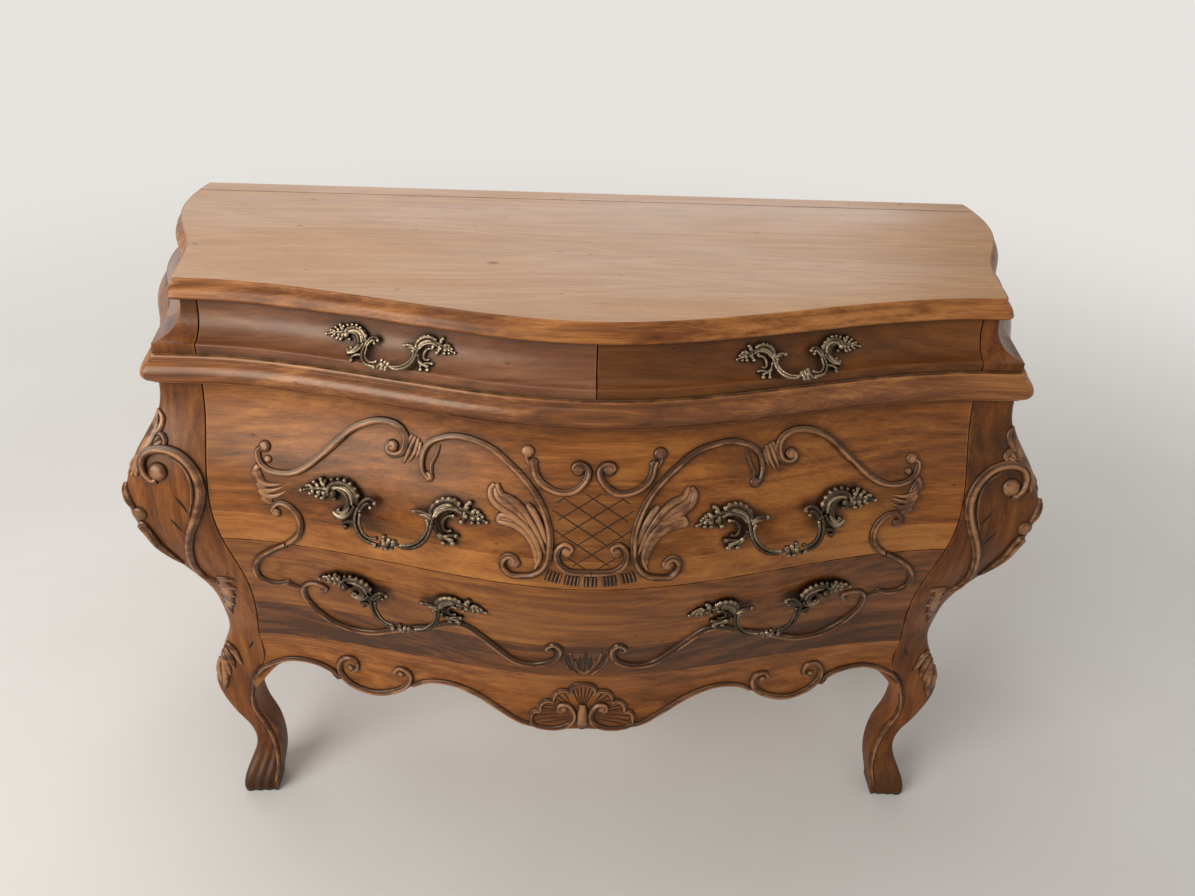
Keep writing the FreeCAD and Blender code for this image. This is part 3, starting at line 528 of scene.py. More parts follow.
def finish_for(name):
    """The finish of one of the frame's pieces, from its name."""
    if name in PIECE_FINISHES:
        return PIECE_FINISHES[name]
    if name.endswith("_screws"):
        return steel.material
    if "post" in name:
        return right_post_walnut if name.endswith("_right") else post_walnut
    for start, finish in SIDE_FINISHES.items():
        if name.startswith(start):
            return finish
    if any(word in name for word in FRONT_TO_BACK):
        return inner_side_wood
    return frieze_walnut if name.endswith("_front") else inner_wood


for name, piece in nodes.items():
    piece.data.materials.clear()
    piece.data.materials.append(finish_for(name))
print("frame pieces dressed")

# %% [markdown]
# The frame's curved pieces are joined from narrow strips that are shaded one by one, so light
# breaks along them. The pieces that show get a merged copy: the strips share their points and are
# shaded smooth, and the arrises stay sharp but lose a hair, as they do under a plane and a cloth.

# %% Merged copies
MERGE_REACH = 0.00002
SHARP_ANGLE = math.radians(26)
ARRIS_EASE = 0.0007
ARRIS_SEGMENTS = 2
EASED_PIECES = ["top_board", "top_rear_strip", "waist_moulding_front"]
for side_name in ("left", "right"):
    EASED_PIECES += [f"waist_moulding_{side_name}", f"frieze_post_{side_name}", f"frieze_side_{side_name}"]
    EASED_PIECES.append(f"frieze_drawer_{side_name}_front")
SMOOTH_PIECES = ["upper_drawer_front", "lower_drawer_front", "apron", "side_panel_left", "side_panel_right"]


def merged_copy(name, ease):
    """A copy of one of the frame's pieces with shared points, smooth strips and eased arrises."""
    piece = nodes[name]
    shape = bmesh.new()
    shape.from_mesh(piece.data)
    bmesh.ops.remove_doubles(shape, verts=shape.verts, dist=MERGE_REACH)
    for strip in shape.faces:
        strip.smooth = True
    for edge in shape.edges:
        edge.smooth = edge.calc_face_angle(0.0) < SHARP_ANGLE
    mesh = bpy.data.meshes.new("smooth_" + name)
    shape.to_mesh(mesh)
    shape.free()
    if "custom_normal" in mesh.attributes:
        mesh.attributes.remove(mesh.attributes["custom_normal"])
    mesh.materials.clear()
    mesh.materials.append(finish_for(name))
    copy = bpy.data.objects.new("smooth_" + name, mesh)
    scene.collection.objects.link(copy)
    if ease:
        eased = copy.modifiers.new("eased_arrises", "BEVEL")
        eased.width = ease
        eased.segments = ARRIS_SEGMENTS
        eased.limit_method = "ANGLE"
        eased.angle_limit = SHARP_ANGLE
    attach(copy, piece["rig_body"])
    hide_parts(name)
    return copy


for name in EASED_PIECES:
    merged_copy(name, ARRIS_EASE)
for name in SMOOTH_PIECES:
    merged_copy(name, 0.0)
print("merged copies:", len(EASED_PIECES) + len(SMOOTH_PIECES))

# %% [markdown]
# The two front posts are worked all over: the arris is rounded on the belly, the knee and the
# ankle, the front swells a little, and the foot is fluted like a hoof. A bevel would follow the
# frame's thin triangles, so the post is skinned anew: the frame's post is cut level by level,
# the four corners of each cut are rounded by a radius of their own, and the rings are joined.

# %% Rounded corner posts
POST_LEVELS = 150
FRONT_STEPS = 24
SIDE_STEPS = 8
BACK_STEPS = 2
CORNER_STEPS = 8
FOOT_TOP = 0.07
FLUTES = 3
FLUTE_DEPTH = 0.0016
# Just over the floor the foot draws in: over this height, to this size, and back by the rest
SOLE = 0.007
SOLE_SIZE = 0.94
SOLE_GROWTH = 0.06
INNER_RADIUS = 0.0012
# A rounding takes no more than this share of a side
ROUND_LIMIT = 0.45
# The outer side swells by this share of the front's swelling
SIDE_SWELL = 0.6
# The post is cut no nearer to its ends than this
CUT_MARGIN = 0.0004
# The arris is first pushed out by this share of its radius, so that rounding takes less off
ARRIS_PUSH = 0.32
# Radii and swelling at heights above the floor
ARRIS_RADII = ((0.0, 0.010), (0.08, 0.012), (0.30, 0.012), (0.52, 0.020), (0.66, 0.014), (0.75, 0.006))
BACK_RADII = ((0.0, 0.008), (0.22, 0.009), (0.27, 0.0008), (0.75, 0.0008))
SWELL = ((0.0, 0.0), (0.10, 0.001), (0.36, 0.0015), (0.53, 0.0045), (0.68, 0.001), (0.75, 0.0))


def at_height(table, height):
    """A value read from a short table of heights."""
    heights, values = zip(*table)
    return float(np.interp(height, heights, values))


def corners_at(ends, height, side):
    """The four corners of a post's section: inner front, arris, outer back and inner back."""
    start, stop = ends[:, 0], ends[:, 1]
    cut = (start[:, 2] - height) * (stop[:, 2] - height) < 0
    start, stop = start[cut], stop[cut]
    share = ((height - start[:, 2]) / (stop[:, 2] - start[:, 2]))[:, None]
    outline = (start + share * (stop - start))[:, :2]
    ways = np.array(((-side, -1), (side, -1), (side, 1), (-side, 1)), float)
    return [outline[np.argmax(outline @ way)] for way in ways]


def post_ring(corners, height):
    """One ring of the post with rounded corners, a swelling front and a fluted foot."""
    round_back = at_height(BACK_RADII, height)
    radii = (INNER_RADIUS, at_height(ARRIS_RADII, height), round_back, round_back)
    steps = (FRONT_STEPS, SIDE_STEPS, BACK_STEPS, SIDE_STEPS)
    swells = (at_height(SWELL, height), SIDE_SWELL * at_height(SWELL, height), 0.0, 0.0)
    middle = sum(corners) / 4
    outwards = corners[1] - middle
    pushed = corners[1] + outwards / np.linalg.norm(outwards) * ARRIS_PUSH * radii[1]
    corners = [corners[0], pushed, corners[2], corners[3]]
    ring = []
    for index in range(4):
        here, after, before = corners[index], corners[(index + 1) % 4], corners[index - 1]
        to_after, to_before = after - here, before - here
        reach_after = min(radii[index], ROUND_LIMIT * np.linalg.norm(to_after))
        reach_before = min(radii[index], ROUND_LIMIT * np.linalg.norm(to_before))
        leave = here + to_after / np.linalg.norm(to_after) * reach_after
        arrive = here + to_before / np.linalg.norm(to_before) * reach_before
        for t in np.linspace(0, 1, CORNER_STEPS):
            ring.append((1 - t) ** 2 * arrive + 2 * t * (1 - t) * here + t ** 2 * leave)
        reach_next = min(radii[(index + 1) % 4], ROUND_LIMIT * np.linalg.norm(to_after))
        end = after - to_after / np.linalg.norm(to_after) * reach_next
        outward = np.array((to_after[1], -to_after[0])) / np.linalg.norm(to_after)
        if outward @ (here + after - 2 * middle) < 0:
            outward = -outward
        flute = FLUTE_DEPTH * max(0.0, 1 - height / FOOT_TOP) ** 0.5 if index == 0 else 0.0
        for t in np.linspace(0, 1, steps[index] + 2)[1:-1]:
            lift = swells[index] * 4 * t * (1 - t) - flute * math.sin(math.pi * FLUTES * t) ** 2
            ring.append(leave + t * (end - leave) + outward * lift)
    if height < SOLE:
        ring = [middle + (point - middle) * (SOLE_SIZE + SOLE_GROWTH * height / SOLE) for point in ring]
    return ring


def rounded_post(name, side):
    """A skin of rounded rings over one of the frame's front posts."""
    mesh = nodes[name].data
    places = np.array([corner.co for corner in mesh.vertices])
    ends = places[np.array([edge.vertices for edge in mesh.edges])]
    low, high = places[:, 2].min(), places[:, 2].max()
    shape = bmesh.new()
    rings = []
    for height in np.linspace(low, high, POST_LEVELS):
        corners = corners_at(ends, min(max(height, low + CUT_MARGIN), high - CUT_MARGIN), side)
        rings.append([shape.verts.new((*point, height)) for point in post_ring(corners, height)])
    for lower, upper in zip(rings, rings[1:]):
        for index in range(len(lower)):
            shape.faces.new((lower[index - 1], lower[index], upper[index], upper[index - 1]))
    shape.faces.new(rings[0])
    shape.faces.new(rings[-1])
    bmesh.ops.recalc_face_normals(shape, faces=shape.faces)
    skin = bpy.data.meshes.new("rounded_" + name)
    shape.to_mesh(skin)
    shape.free()
    skin.shade_smooth()
    skin.materials.append(finish_for(name))
    post = bpy.data.objects.new("rounded_" + name, skin)
    scene.collection.objects.link(post)
    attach(post, "carcass")
    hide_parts(name)
    return post


left_post = rounded_post("corner_post_left", -1)
right_post = rounded_post("corner_post_right", 1)
print("faces of one post:", len(left_post.data.polygons))

# %% [markdown]
# The carving is low relief: thick scrolls that end in curled volutes, leaves made of fluted lobes,
# and a lattice cut into the middle. It could be sculpted or displaced, but a ridge that follows a
# line stays crisp at any size when a profile is swept along it. The lines are read off the
# picture, in its pixels, on the left half only. Each is cast along the camera's rays onto
# the frame's surface, and mirrored for the right half. Where a ray meets the outer side of the
# post, the line is laid along the post's arris, so that it does not slide out of sight.

# %% Cast lines from the picture onto the chest
CARVED_PIECES = [nodes[name] for name in ("upper_drawer_front", "lower_drawer_front", "apron")]
CARVED_PIECES += [left_post, right_post]
STEPS_PER_SPAN = 7
FEWEST_POINTS = 3
# Distances from the camera at which the chest's edge is looked for beside it
EDGE_REACHES = np.linspace(1.2, 1.9, 71)
ARRIS_POINTS = 1800
# The post looks sideways where its normal points to the front by less than this
SIDEWAYS = -0.25


def ray_through(pixel):
    """The direction in which the camera sees a pixel of the picture."""
    way = AHEAD * FOCAL_PIXELS
    way += TO_RIGHT * (pixel[0] - PHOTO_WIDTH / 2) - TO_TOP * (pixel[1] - PHOTO_HEIGHT / 2)
    return way.normalized()


def arris_of(post):
    """Close points down the rounded front corner of a post."""
    ring_size = len(post.data.vertices) // POST_LEVELS
    middle = CORNER_STEPS + FRONT_STEPS + CORNER_STEPS // 2
    levels = np.array([post.data.vertices[level * ring_size + middle].co for level in range(POST_LEVELS)])
    heights = np.linspace(levels[0, 2], levels[-1, 2], ARRIS_POINTS)
    columns = [np.interp(heights, levels[:, 2], levels[:, number]) for number in range(3)]
    return [Vector(place) for place in zip(*columns)]


class Ground:
    """The surfaces that the carving lies on, and the body that each belongs to."""

    def __init__(self, pieces, post=None):
        self.post = post
        self.arris = arris_of(post) if post else []
        corners, faces, self.owners = [], [], []
        for piece in pieces:
            mesh = piece.data
            start = len(corners)
            corners += [corner.co.copy() for corner in mesh.vertices]
            faces += [[start + index for index in face.vertices] for face in mesh.polygons]
            self.owners += [piece] * len(mesh.polygons)
        self.search = BVHTree.FromPolygons(corners, faces)

    def under(self, pixel):
        """Point, normal and body under a pixel; beside the chest, those of its nearest edge."""
        way = ray_through(pixel)
        point, normal, face, distance = self.search.ray_cast(CAMERA_PLACE, way)
        if face is None:
            tries = [self.search.find_nearest(CAMERA_PLACE + way * reach) for reach in EDGE_REACHES]
            point, normal, face, distance = min(tries, key=lambda found: found[3])
        if self.owners[face] == self.post and normal.x < 0 and normal.y > SIDEWAYS:
            nearest = min(self.arris, key=lambda place: (place - CAMERA_PLACE).cross(way).length)
            point, normal, face, distance = self.search.find_nearest(nearest)
        return point, normal, self.owners[face].get("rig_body", "carcass")


def smooth_line(points):
    """A curve through given points, as many closer points."""
    line = np.array(points, float)
    padded = np.vstack((2 * line[0] - line[1], line, 2 * line[-1] - line[-2]))
    places = []
    for before, start, end, after in zip(padded, padded[1:], padded[2:], padded[3:]):
        for step in range(STEPS_PER_SPAN):
            t = step / STEPS_PER_SPAN
            bend = 2 * before - 5 * start + 4 * end - after
            twist = 3 * start - 3 * end + after - before
            places.append(start + 0.5 * ((end - before) * t + bend * t * t + twist * t ** 3))
    return np.array(places + [line[-1]])


def metres(millimetres):
    """A length that is given in millimetres."""
    return millimetres / 1000


def swelling(widths, count):
    """Half widths in metres along a line, from three in millimetres: start, middle and end."""
    along = np.linspace(0, 1, count)
    first, middle, last = (metres(width) for width in widths)
    start_share = first * (1 - along) * (1 - 2 * along)
    middle_share = 4 * middle * along * (1 - along)
    return start_share + middle_share + last * along * (2 * along - 1)


ground = Ground(CARVED_PIECES, left_post)
strokes = []
buttons = []


def mirrored(vector):
    """The same place or direction on the other half."""
    return Vector((-vector.x, vector.y, vector.z))


def carve(points, widths, kind="ridge"):
    """Cast one line onto the chest, split it where it crosses to another body, and mirror it."""
    line = smooth_line(points)
    runs = []
    for pixel, width in zip(line, swelling(widths, len(line))):
        point, normal, body = ground.under(pixel)
        if not runs or runs[-1]["body"] != body:
            runs.append({"body": body, "kind": kind, "points": [], "normals": [], "widths": []})
        runs[-1]["points"].append(point)
        runs[-1]["normals"].append(normal)
        runs[-1]["widths"].append(width)
    for run in runs:
        if len(run["points"]) >= FEWEST_POINTS:
            strokes.append(run)
            twin = dict(run)
            twin["points"] = [mirrored(point) for point in reversed(run["points"])]
            twin["normals"] = [mirrored(normal) for normal in reversed(run["normals"])]
            twin["widths"] = run["widths"][::-1]
            strokes.append(twin)


def carve_each(lines, widths, kind="ridge"):
    """Cast several lines of one kind and width."""
    for points in lines:
        carve(points, widths, kind)


def set_buttons(places):
    """Round bosses, as at the heart of a volute, on both halves."""
    for pixel, radius in places:
        point, normal, body = ground.under(pixel)
        for place, way in ((point, normal), (mirrored(point), mirrored(normal))):
            buttons.append({"body": body, "point": place, "normal": way, "radius": metres(radius)})


print("carved surfaces:", len(CARVED_PIECES))

# %% [markdown]
# The upper drawer carries the main pattern: a long S from each end, a leafy link, a big S that
# frames the middle, an acanthus leaf beside it, and a cartouche of two small scrolls over a
# lattice with a fluted fan below. Arcs could draw the scrolls, but carved ones are never true
# arcs, so each is a smooth curve through points. Its half width in millimetres is given at its
# start, middle and end, and swells in between.

# %% Scrolls of the upper drawer
LONG_SCROLL = [
    (262, 447), (258, 451), (260, 461), (268, 469), (281, 473), (295, 472), (308, 466), (322, 455),
    (337, 442), (352, 429), (368, 422), (383, 420), (397, 424), (405, 433), (406, 443), (402, 452),
    (394, 454), (388, 450), (389, 444), (393, 445),
]
BIG_SCROLL = [
    (428, 477), (424, 473), (422, 464), (424, 452), (431, 442), (444, 437), (459, 436), (480, 442),
    (494, 449.5), (508, 462), (522, 476), (533, 490), (540.5, 503), (546, 517), (549.5, 531),
    (550, 545), (548.5, 558), (543, 568), (533, 574), (521, 575), (510, 573), (503, 566), (503, 559),
    (509, 555), (515, 558), (514, 562),
]
BIG_SCROLL_TONGUE = [(440, 444), (437, 454), (432, 464), (432, 474)]
CROWN_STEM = [(528, 451), (527, 457), (530, 464)]
CROWN_SCROLL = [
    (532, 459), (534, 465), (536, 475), (543, 484.5), (554.5, 491), (567, 493), (578, 489), (587, 479),
    (588.5, 471), (584, 465), (577, 464), (574, 468), (578, 469.5),
]
CRADLE_SCROLL = [
    (568, 553), (571.5, 548), (564.5, 544), (557.5, 549.5), (556.5, 557.5), (560, 565), (568.5, 570.5),
    (578.5, 572), (590.5, 572.5),
]
SCROLL_BUTTONS = [
    ((265, 446), 8.0), ((268, 459), 5.6), ((393, 445.5), 8.4), ((429, 476), 7.2), ((514, 562), 8.8),
    ((528, 451), 8.4), ((534, 462), 6.0), ((578.5, 469), 8.4), ((567, 552), 7.6),
]
carve(LONG_SCROLL, (4.0, 4.9, 4.2))
carve(BIG_SCROLL, (4.2, 4.6, 4.8))
carve(BIG_SCROLL_TONGUE, (1.4, 2.8, 2.2))
carve(CROWN_STEM, (3.4, 3.0, 3.4))
carve(CROWN_SCROLL, (5.0, 4.8, 4.0))
carve(CRADLE_SCROLL, (3.6, 4.4, 4.6))
set_buttons(SCROLL_BUTTONS)
print("strokes so far:", len(strokes))

# %% [markdown]
# The leaves spring from the scrolls as bundles of lobes. A sculpted leaf could be finer, but lines
# keep one way of working for the whole front. A lobe is a flatter ridge than a scroll, and a low,
# wide web under a bundle is the body of the leaf, so that the gaps between its lobes stay shallow.

# %% Leaves of the upper drawer
LINK_LEAF = [
    [(413, 434), (408, 443), (402, 450)],
    [(416, 436), (411, 447), (403, 464)],
    [(419, 438), (416, 450), (409, 462)],
    [(421, 442), (420, 450), (416, 458)],
]
ACANTHUS = [
    [(495, 483.5), (491, 489), (492, 498), (500, 507), (512, 514), (524, 525), (534, 540), (540, 555)],
    [(497, 483.5), (502, 494), (512, 499.5), (521, 507.5), (531, 521.5), (540, 538), (545, 552)],
    [(527.5, 504), (533, 511), (541, 526), (547, 544)],
    [(498, 518), (503, 514.5), (515, 518), (527, 527.5), (536, 541), (540, 556), (535, 568)],
    [(498.5, 521.5), (507, 522.8), (518, 526.5), (528, 536), (535, 550), (536, 562)],
]
ACANTHUS_WEB = [
    [(495.5, 487), (498, 497), (508, 505.8), (520.7, 515.6), (532, 529.6), (540, 546)],
    [(500, 518.5), (508, 519), (517, 522.5), (528, 532.5), (536, 548)],
]
END_LEAF = [
    [(259, 465), (255, 471), (256, 479)],
    [(257, 474), (261, 481), (270, 484.5), (282, 484)],
    [(258, 482), (263, 489), (272, 490), (284, 487)],
    [(260, 489), (267, 495), (276, 495.5), (286, 491.5)],
    [(263, 496), (269, 501), (275, 503)],
]
END_WEB = [(257, 470), (261, 482), (266, 493), (271, 503)]
END_SCROLL = [
    (276, 512), (272, 509), (278.5, 502.5), (288, 504.5), (296.5, 512), (301, 522), (299.5, 533),
    (290, 542), (276, 547.5), (263, 554.5), (257, 561.5), (256, 568.5), (260, 575.5), (268.5, 580),
    (280, 582), (290, 581),
]
LEAF_BUTTONS = [((499, 520), 5.6), ((256, 474), 6.4), ((276.5, 512), 7.0), ((289, 581), 4.4)]
carve_each(LINK_LEAF, (2.4, 3.8, 1.2), "leaf")
carve_each(ACANTHUS, (3.8, 5.6, 2.4), "leaf")
carve_each(ACANTHUS_WEB, (5.4, 6.8, 3.6), "web")
carve_each(END_LEAF, (4.6, 4.4, 0.8), "leaf")
carve(END_WEB, (5.4, 7.4, 5.0), "web")
carve(END_SCROLL, (3.4, 4.6, 3.6))
set_buttons(LEAF_BUTTONS)
print("strokes so far:", len(strokes))

# %% [markdown]
# The lattice is cut in with a veining tool, and the fan below it with a small gouge. Both follow a
# rule, so their lines are computed and not drawn: slanting lines kept inside the cartouche, which
# the mirrored half crosses, and short flutes side by side under its lower scroll.

# %% Lattice and fan
MIDDLE_PIXEL = 590.5
LATTICE_EDGE = [
    (545, 492), (551, 510), (554, 530), (556, 541), (565, 539), (575, 546), (573, 556), (563, 557),
    (566, 566), (578, 571), (603, 571), (615, 566), (618, 557), (608, 556), (606, 546), (616, 539),
    (625, 541), (627, 530), (630, 510), (636, 492), (623, 498), (609, 498), (597, 493), (590, 484),
    (584, 493), (572, 498), (558, 498),
]
# The lattice: its slope, its rows at the middle, the columns of its points and the fewest in a line
LATTICE_SLOPE = 0.66
LATTICE_ROWS = range(440, 640, 19)
LATTICE_COLUMNS = range(540, 642, 2)
LATTICE_SHORTEST = 5
LATTICE_WIDTHS = (0.7, 0.9, 0.7)
# The fan in pixels: half its width, its slits off the middle, and a flute's way from its slit
FAN_HALF_PIXELS = 45
FAN_SLITS = (2.0, 5.5, 13.5, 17.0, 20.5, 24.0, 31.0, 34.5, 38.0, 41.5)
FAN_STEP = 1.75
# The fan's top at the middle, how far it rises and leans at the end, and its height
FAN_TOP = 577.0
FAN_ARCH = 8.0
FAN_LEAN = 5.0
FAN_HEIGHT = 10.0
SLIT_WIDTHS = (0.8, 1.3, 0.7)
FLUTE_WIDTHS = (1.2, 1.5, 1.2)


def inside_edge(pixel, edge):
    """Whether a pixel lies inside a closed line."""
    x, y = pixel
    crossings = 0
    for (x0, y0), (x1, y1) in zip(edge, edge[1:] + edge[:1]):
        if (y0 > y) != (y1 > y) and x < x0 + (y - y0) * (x1 - x0) / (y1 - y0):
            crossings += 1
    return crossings % 2 == 1


def lattice_lines():
    """Runs of pixels of one family of slanting lines that lie inside the cartouche."""
    for row in LATTICE_ROWS:
        run = []
        for x in LATTICE_COLUMNS:
            pixel = (x, row + LATTICE_SLOPE * (x - MIDDLE_PIXEL))
            if inside_edge(pixel, LATTICE_EDGE):
                run.append(pixel)
                continue
            if len(run) >= LATTICE_SHORTEST:
                yield run
            run = []


# The lattice's lines and the fan's slits are thin low lines in the dark walnut that paints the shade of a
# cut
carve_each(lattice_lines(), LATTICE_WIDTHS, "groove")
for offset in FAN_SLITS:
    share = offset / FAN_HALF_PIXELS
    x = MIDDLE_PIXEL - offset
    top = FAN_TOP - FAN_ARCH * share ** 2
    lean = FAN_LEAN * share
    slit = [(x, top), (x - lean / 2, top + FAN_HEIGHT / 2), (x - lean, top + FAN_HEIGHT)]
    carve(slit, SLIT_WIDTHS, "groove")
    carve([(x + FAN_STEP, y) for x, y in slit], FLUTE_WIDTHS)
print("strokes so far:", len(strokes))

# %% [markdown]
# The lower drawer has one long scroll on each half that runs behind its pull to a small palmette.
# Its lines are cast in the same way. The gouge cuts of the palmette could be cut into the front,
# but thin lines in a dark walnut that paints the shade of a cut show them as well at this size, and
# leave the front's mesh whole.

# %% Carving of the lower drawer
LOW_SCROLL = [
    (323, 592), (327, 587), (318, 583), (308, 583), (304, 588), (307, 597), (317, 608), (332, 619),
    (350, 627), (373, 631), (393, 629), (410, 627), (427, 626), (441, 624), (454, 622), (467, 625),
    (482, 635), (500, 649), (515, 659), (531, 663), (546, 662), (557, 657), (560, 649), (554, 644),
    (547, 647), (550, 650),
]
LOW_LINK = [(288, 582), (296, 585), (305, 588)]
PALMETTE = [
    [(575, 660), (577.5, 668), (585, 673)],
    [(570, 652), (572.5, 661), (578, 669)],
    [(562, 655), (567, 666), (577, 673.5)],
]
PALMETTE_GOUGES = [
    [(584.8, 652), (584.8, 661), (584.8, 670)],
    [(580.5, 656), (580.0, 662), (581.0, 668)],
    [(565, 653), (568.5, 660), (573.5, 667.5)],
]
LOW_BUTTONS = [((550, 650), 6.0), ((323, 591), 4.0)]
carve(LOW_SCROLL, (3.0, 5.2, 3.8))
carve(LOW_LINK, (3.4, 3.0, 2.6))
carve_each(PALMETTE, (1.6, 2.8, 2.2), "leaf")
carve_each(PALMETTE_GOUGES, (0.4, 2.6, 1.0), "groove")
set_buttons(LOW_BUTTONS)
print("strokes so far:", len(strokes))

# %% [markdown]
# A bead runs along the apron's lower edge from leg to leg, breaks into a C-scroll on each half and
# ends at a shell. The shell is a fan of hollow lobes over two volutes. A lathe or a sculpted fan
# could make it, but drawn as rims, flutes and volutes it lies on the curved apron by itself.

# %% Carving of the apron
EDGE_BEAD = [(252, 703), (252, 690), (256, 676), (268, 665), (291, 658), (314, 661), (332, 669), (339, 677)]
EDGE_SCROLL = [
    (352, 671), (358, 667), (355, 659), (346, 657), (340, 663), (342, 673), (351, 682), (365, 689),
    (380, 692), (396, 690), (407, 685), (411, 677), (407, 670), (399, 668), (395, 672),
]
EDGE_RUN = [(413, 685), (426, 681), (441, 681), (459, 685), (480, 695), (500, 708), (518, 719), (529, 723)]
SHELL_RIM = [
    [(571, 692), (572, 687), (577, 684), (584, 683)],
    [(553, 700), (555, 694), (560, 690), (567, 690), (571, 693)],
    [(540, 710), (541, 704), (546, 700), (551, 700), (554, 702)],
    [(531, 720), (532, 713), (536, 710), (540, 711)],
]
SHELL_FLUTES = [
    [(580, 706), (576.5, 698), (573.0, 691)],
    [(581, 705.5), (579, 697), (577.0, 688.5)],
    [(582.2, 705), (581.6, 697), (581, 687.5)],
    [(570, 702), (567, 697), (564, 693)],
    [(568, 703), (563, 699), (558, 695)],
    [(566, 703), (560, 701), (555, 699)],
    [(558, 706), (553, 704), (548, 702)],
    [(558, 708), (551, 706), (544, 705)],
    [(558, 711), (550, 709), (542, 708)],
    [(559, 714), (547, 714), (535, 715)],
    [(561, 717), (548, 718), (535, 720)],
    [(566, 719), (553, 721), (541, 723)],
]
SHELL_VOLUTE = [
    (531, 719), (533, 723), (541, 726), (556, 727), (568, 724), (574, 717), (572, 709), (566, 704),
    (560, 705), (559, 709), (563, 711),
]
SHELL_STEM = [(583, 704), (583, 715), (582.5, 727)]
APRON_BUTTONS = [((339, 676), 5.6), ((351, 667), 5.4), ((401, 674), 5.4), ((563, 708), 7.0)]
carve(EDGE_BEAD, (3.4, 4.0, 4.4))
carve(EDGE_SCROLL, (3.2, 5.0, 3.4))
carve(EDGE_RUN, (3.4, 4.2, 3.8))
carve(SHELL_VOLUTE, (3.0, 4.6, 3.4))
carve(SHELL_STEM, (4.0, 8.0, 5.6), "leaf")
carve_each(SHELL_RIM, (3.0, 3.8, 3.0))
# The shell's flutes are thin lines in the dark walnut that paints the shade in each hollow
carve_each(SHELL_FLUTES, (0.5, 1.1, 1.2), "groove")
set_buttons(APRON_BUTTONS)
print("strokes so far:", len(strokes))

# %% [markdown]
# Each front post has a leaf over its arris, a C-scroll that runs down to a fluted spray, a bud on
# the belly, a leaf on the knee, and a bead down the inner edge of the leg. The post turns the
# corner, so a flat drawing would be torn there, but cast lines bend round it with the wood.

# %% Carving of the posts and legs
POST_SCROLL = [
    (157, 480), (152, 480.5), (144.5, 473), (141.7, 463), (144.5, 454.7), (152, 449.8), (166, 449.4),
    (180, 455), (191.4, 466), (198.4, 478.6), (201.2, 491.2), (199.8, 504), (195.6, 518), (191.4, 529),
    (189.3, 541.8), (190.7, 554.4), (195.6, 565.6), (205.4, 575.4), (216, 580.4),
]
POST_FILLET = [(170, 458), (182, 466), (190, 480), (192, 498), (189, 516)]
ARRIS_LEAF = [
    [(158, 409), (151, 424), (143, 441), (135, 458), (128, 473)],
    [(159, 409), (162.5, 417), (161, 426), (154, 436), (145, 449), (137, 464), (132, 475)],
    [(156, 433), (162, 434.5), (165, 441), (163, 447)],
    [(159, 437), (151, 444), (144, 453), (139.5, 464), (136, 475)],
    [(162, 441), (155, 446), (148, 452)],
]
ARRIS_WEB = [(158, 412), (155, 425), (150, 438), (142, 452), (134, 470)]
ARRIS_FILL = [(159, 434), (157, 440), (151, 447)]
POST_SPRAY = [
    [(218, 577.5), (226, 578.5), (234, 580)],
    [(219, 584), (227, 585.5), (235.5, 588)],
    [(221, 589.5), (228, 592), (235.5, 596)],
    [(223, 595), (229, 599), (234.5, 604)],
    [(226, 601), (229, 606), (231.5, 612)],
]
SPRAY_WEB = [(222, 579), (227, 588), (229, 598), (230, 608)]
BELLY_BUD = [(127, 482), (127, 490), (129.5, 499), (134, 507)]
BELLY_TAIL = [(142, 523), (149, 531), (159, 543), (172, 554), (184, 563)]
BELLY_VEINS = [
    [(175, 497), (181, 504), (188, 513)],
    [(170, 519), (176, 525), (182, 532)],
    [(249, 648), (251, 645), (253, 641)],
]
KNEE_LEAF = [
    [(227, 642), (234, 650), (242, 664)],
    [(225, 646), (231, 658), (234, 668)],
    [(223, 650), (227, 662), (230, 674)],
    [(223, 652), (225, 666), (226, 680), (225, 688)],
    [(221, 656), (220, 668), (222, 680)],
]
LEG_BEAD = [(271, 664), (258, 675), (253, 691), (255, 707), (266, 723), (275, 741), (279, 763), (277, 781)]
POST_BUTTONS = [((158, 471.5), 12.4), ((140, 513), 10.2), ((143, 524), 6.6)]
carve(POST_SCROLL, (4.6, 6.8, 4.0))
carve(POST_FILLET, (1.2, 2.0, 1.2))
carve_each(ARRIS_LEAF, (3.2, 4.4, 3.0), "leaf")
carve(ARRIS_WEB, (4.0, 9.0, 6.0), "web")
carve(ARRIS_FILL, (4.6, 5.2, 4.0), "web")
carve_each(POST_SPRAY, (3.4, 4.6, 3.0), "leaf")
carve(SPRAY_WEB, (5.0, 9.0, 5.0), "web")
carve(BELLY_BUD, (3.4, 5.4, 3.4))
carve(BELLY_TAIL, (6.4, 6.0, 1.6))
# The veins are thin lines in the dark walnut that paints the shade of a cut
carve_each(BELLY_VEINS, (0.6, 2.0, 0.6), "groove")
carve_each(KNEE_LEAF, (3.6, 6.0, 2.4), "leaf")
carve(LEG_BEAD, (3.0, 3.6, 3.0))
set_buttons(POST_BUTTONS)
print("strokes in all:", len(strokes), "buttons:", len(buttons))

# %% [markdown]
# One tree of Geometry Nodes turns the lines into wood. Each line becomes a curve whose normal is
# the surface's own, a rounded profile is swept along it at the line's own width, and a domed button
# is set on each loose point. A bevelled curve object would be simpler, but its profile can't be
# flattened towards the surface. Here the profile's first axis follows the normal, so one number,
# the relief, says how far the carving stands up.

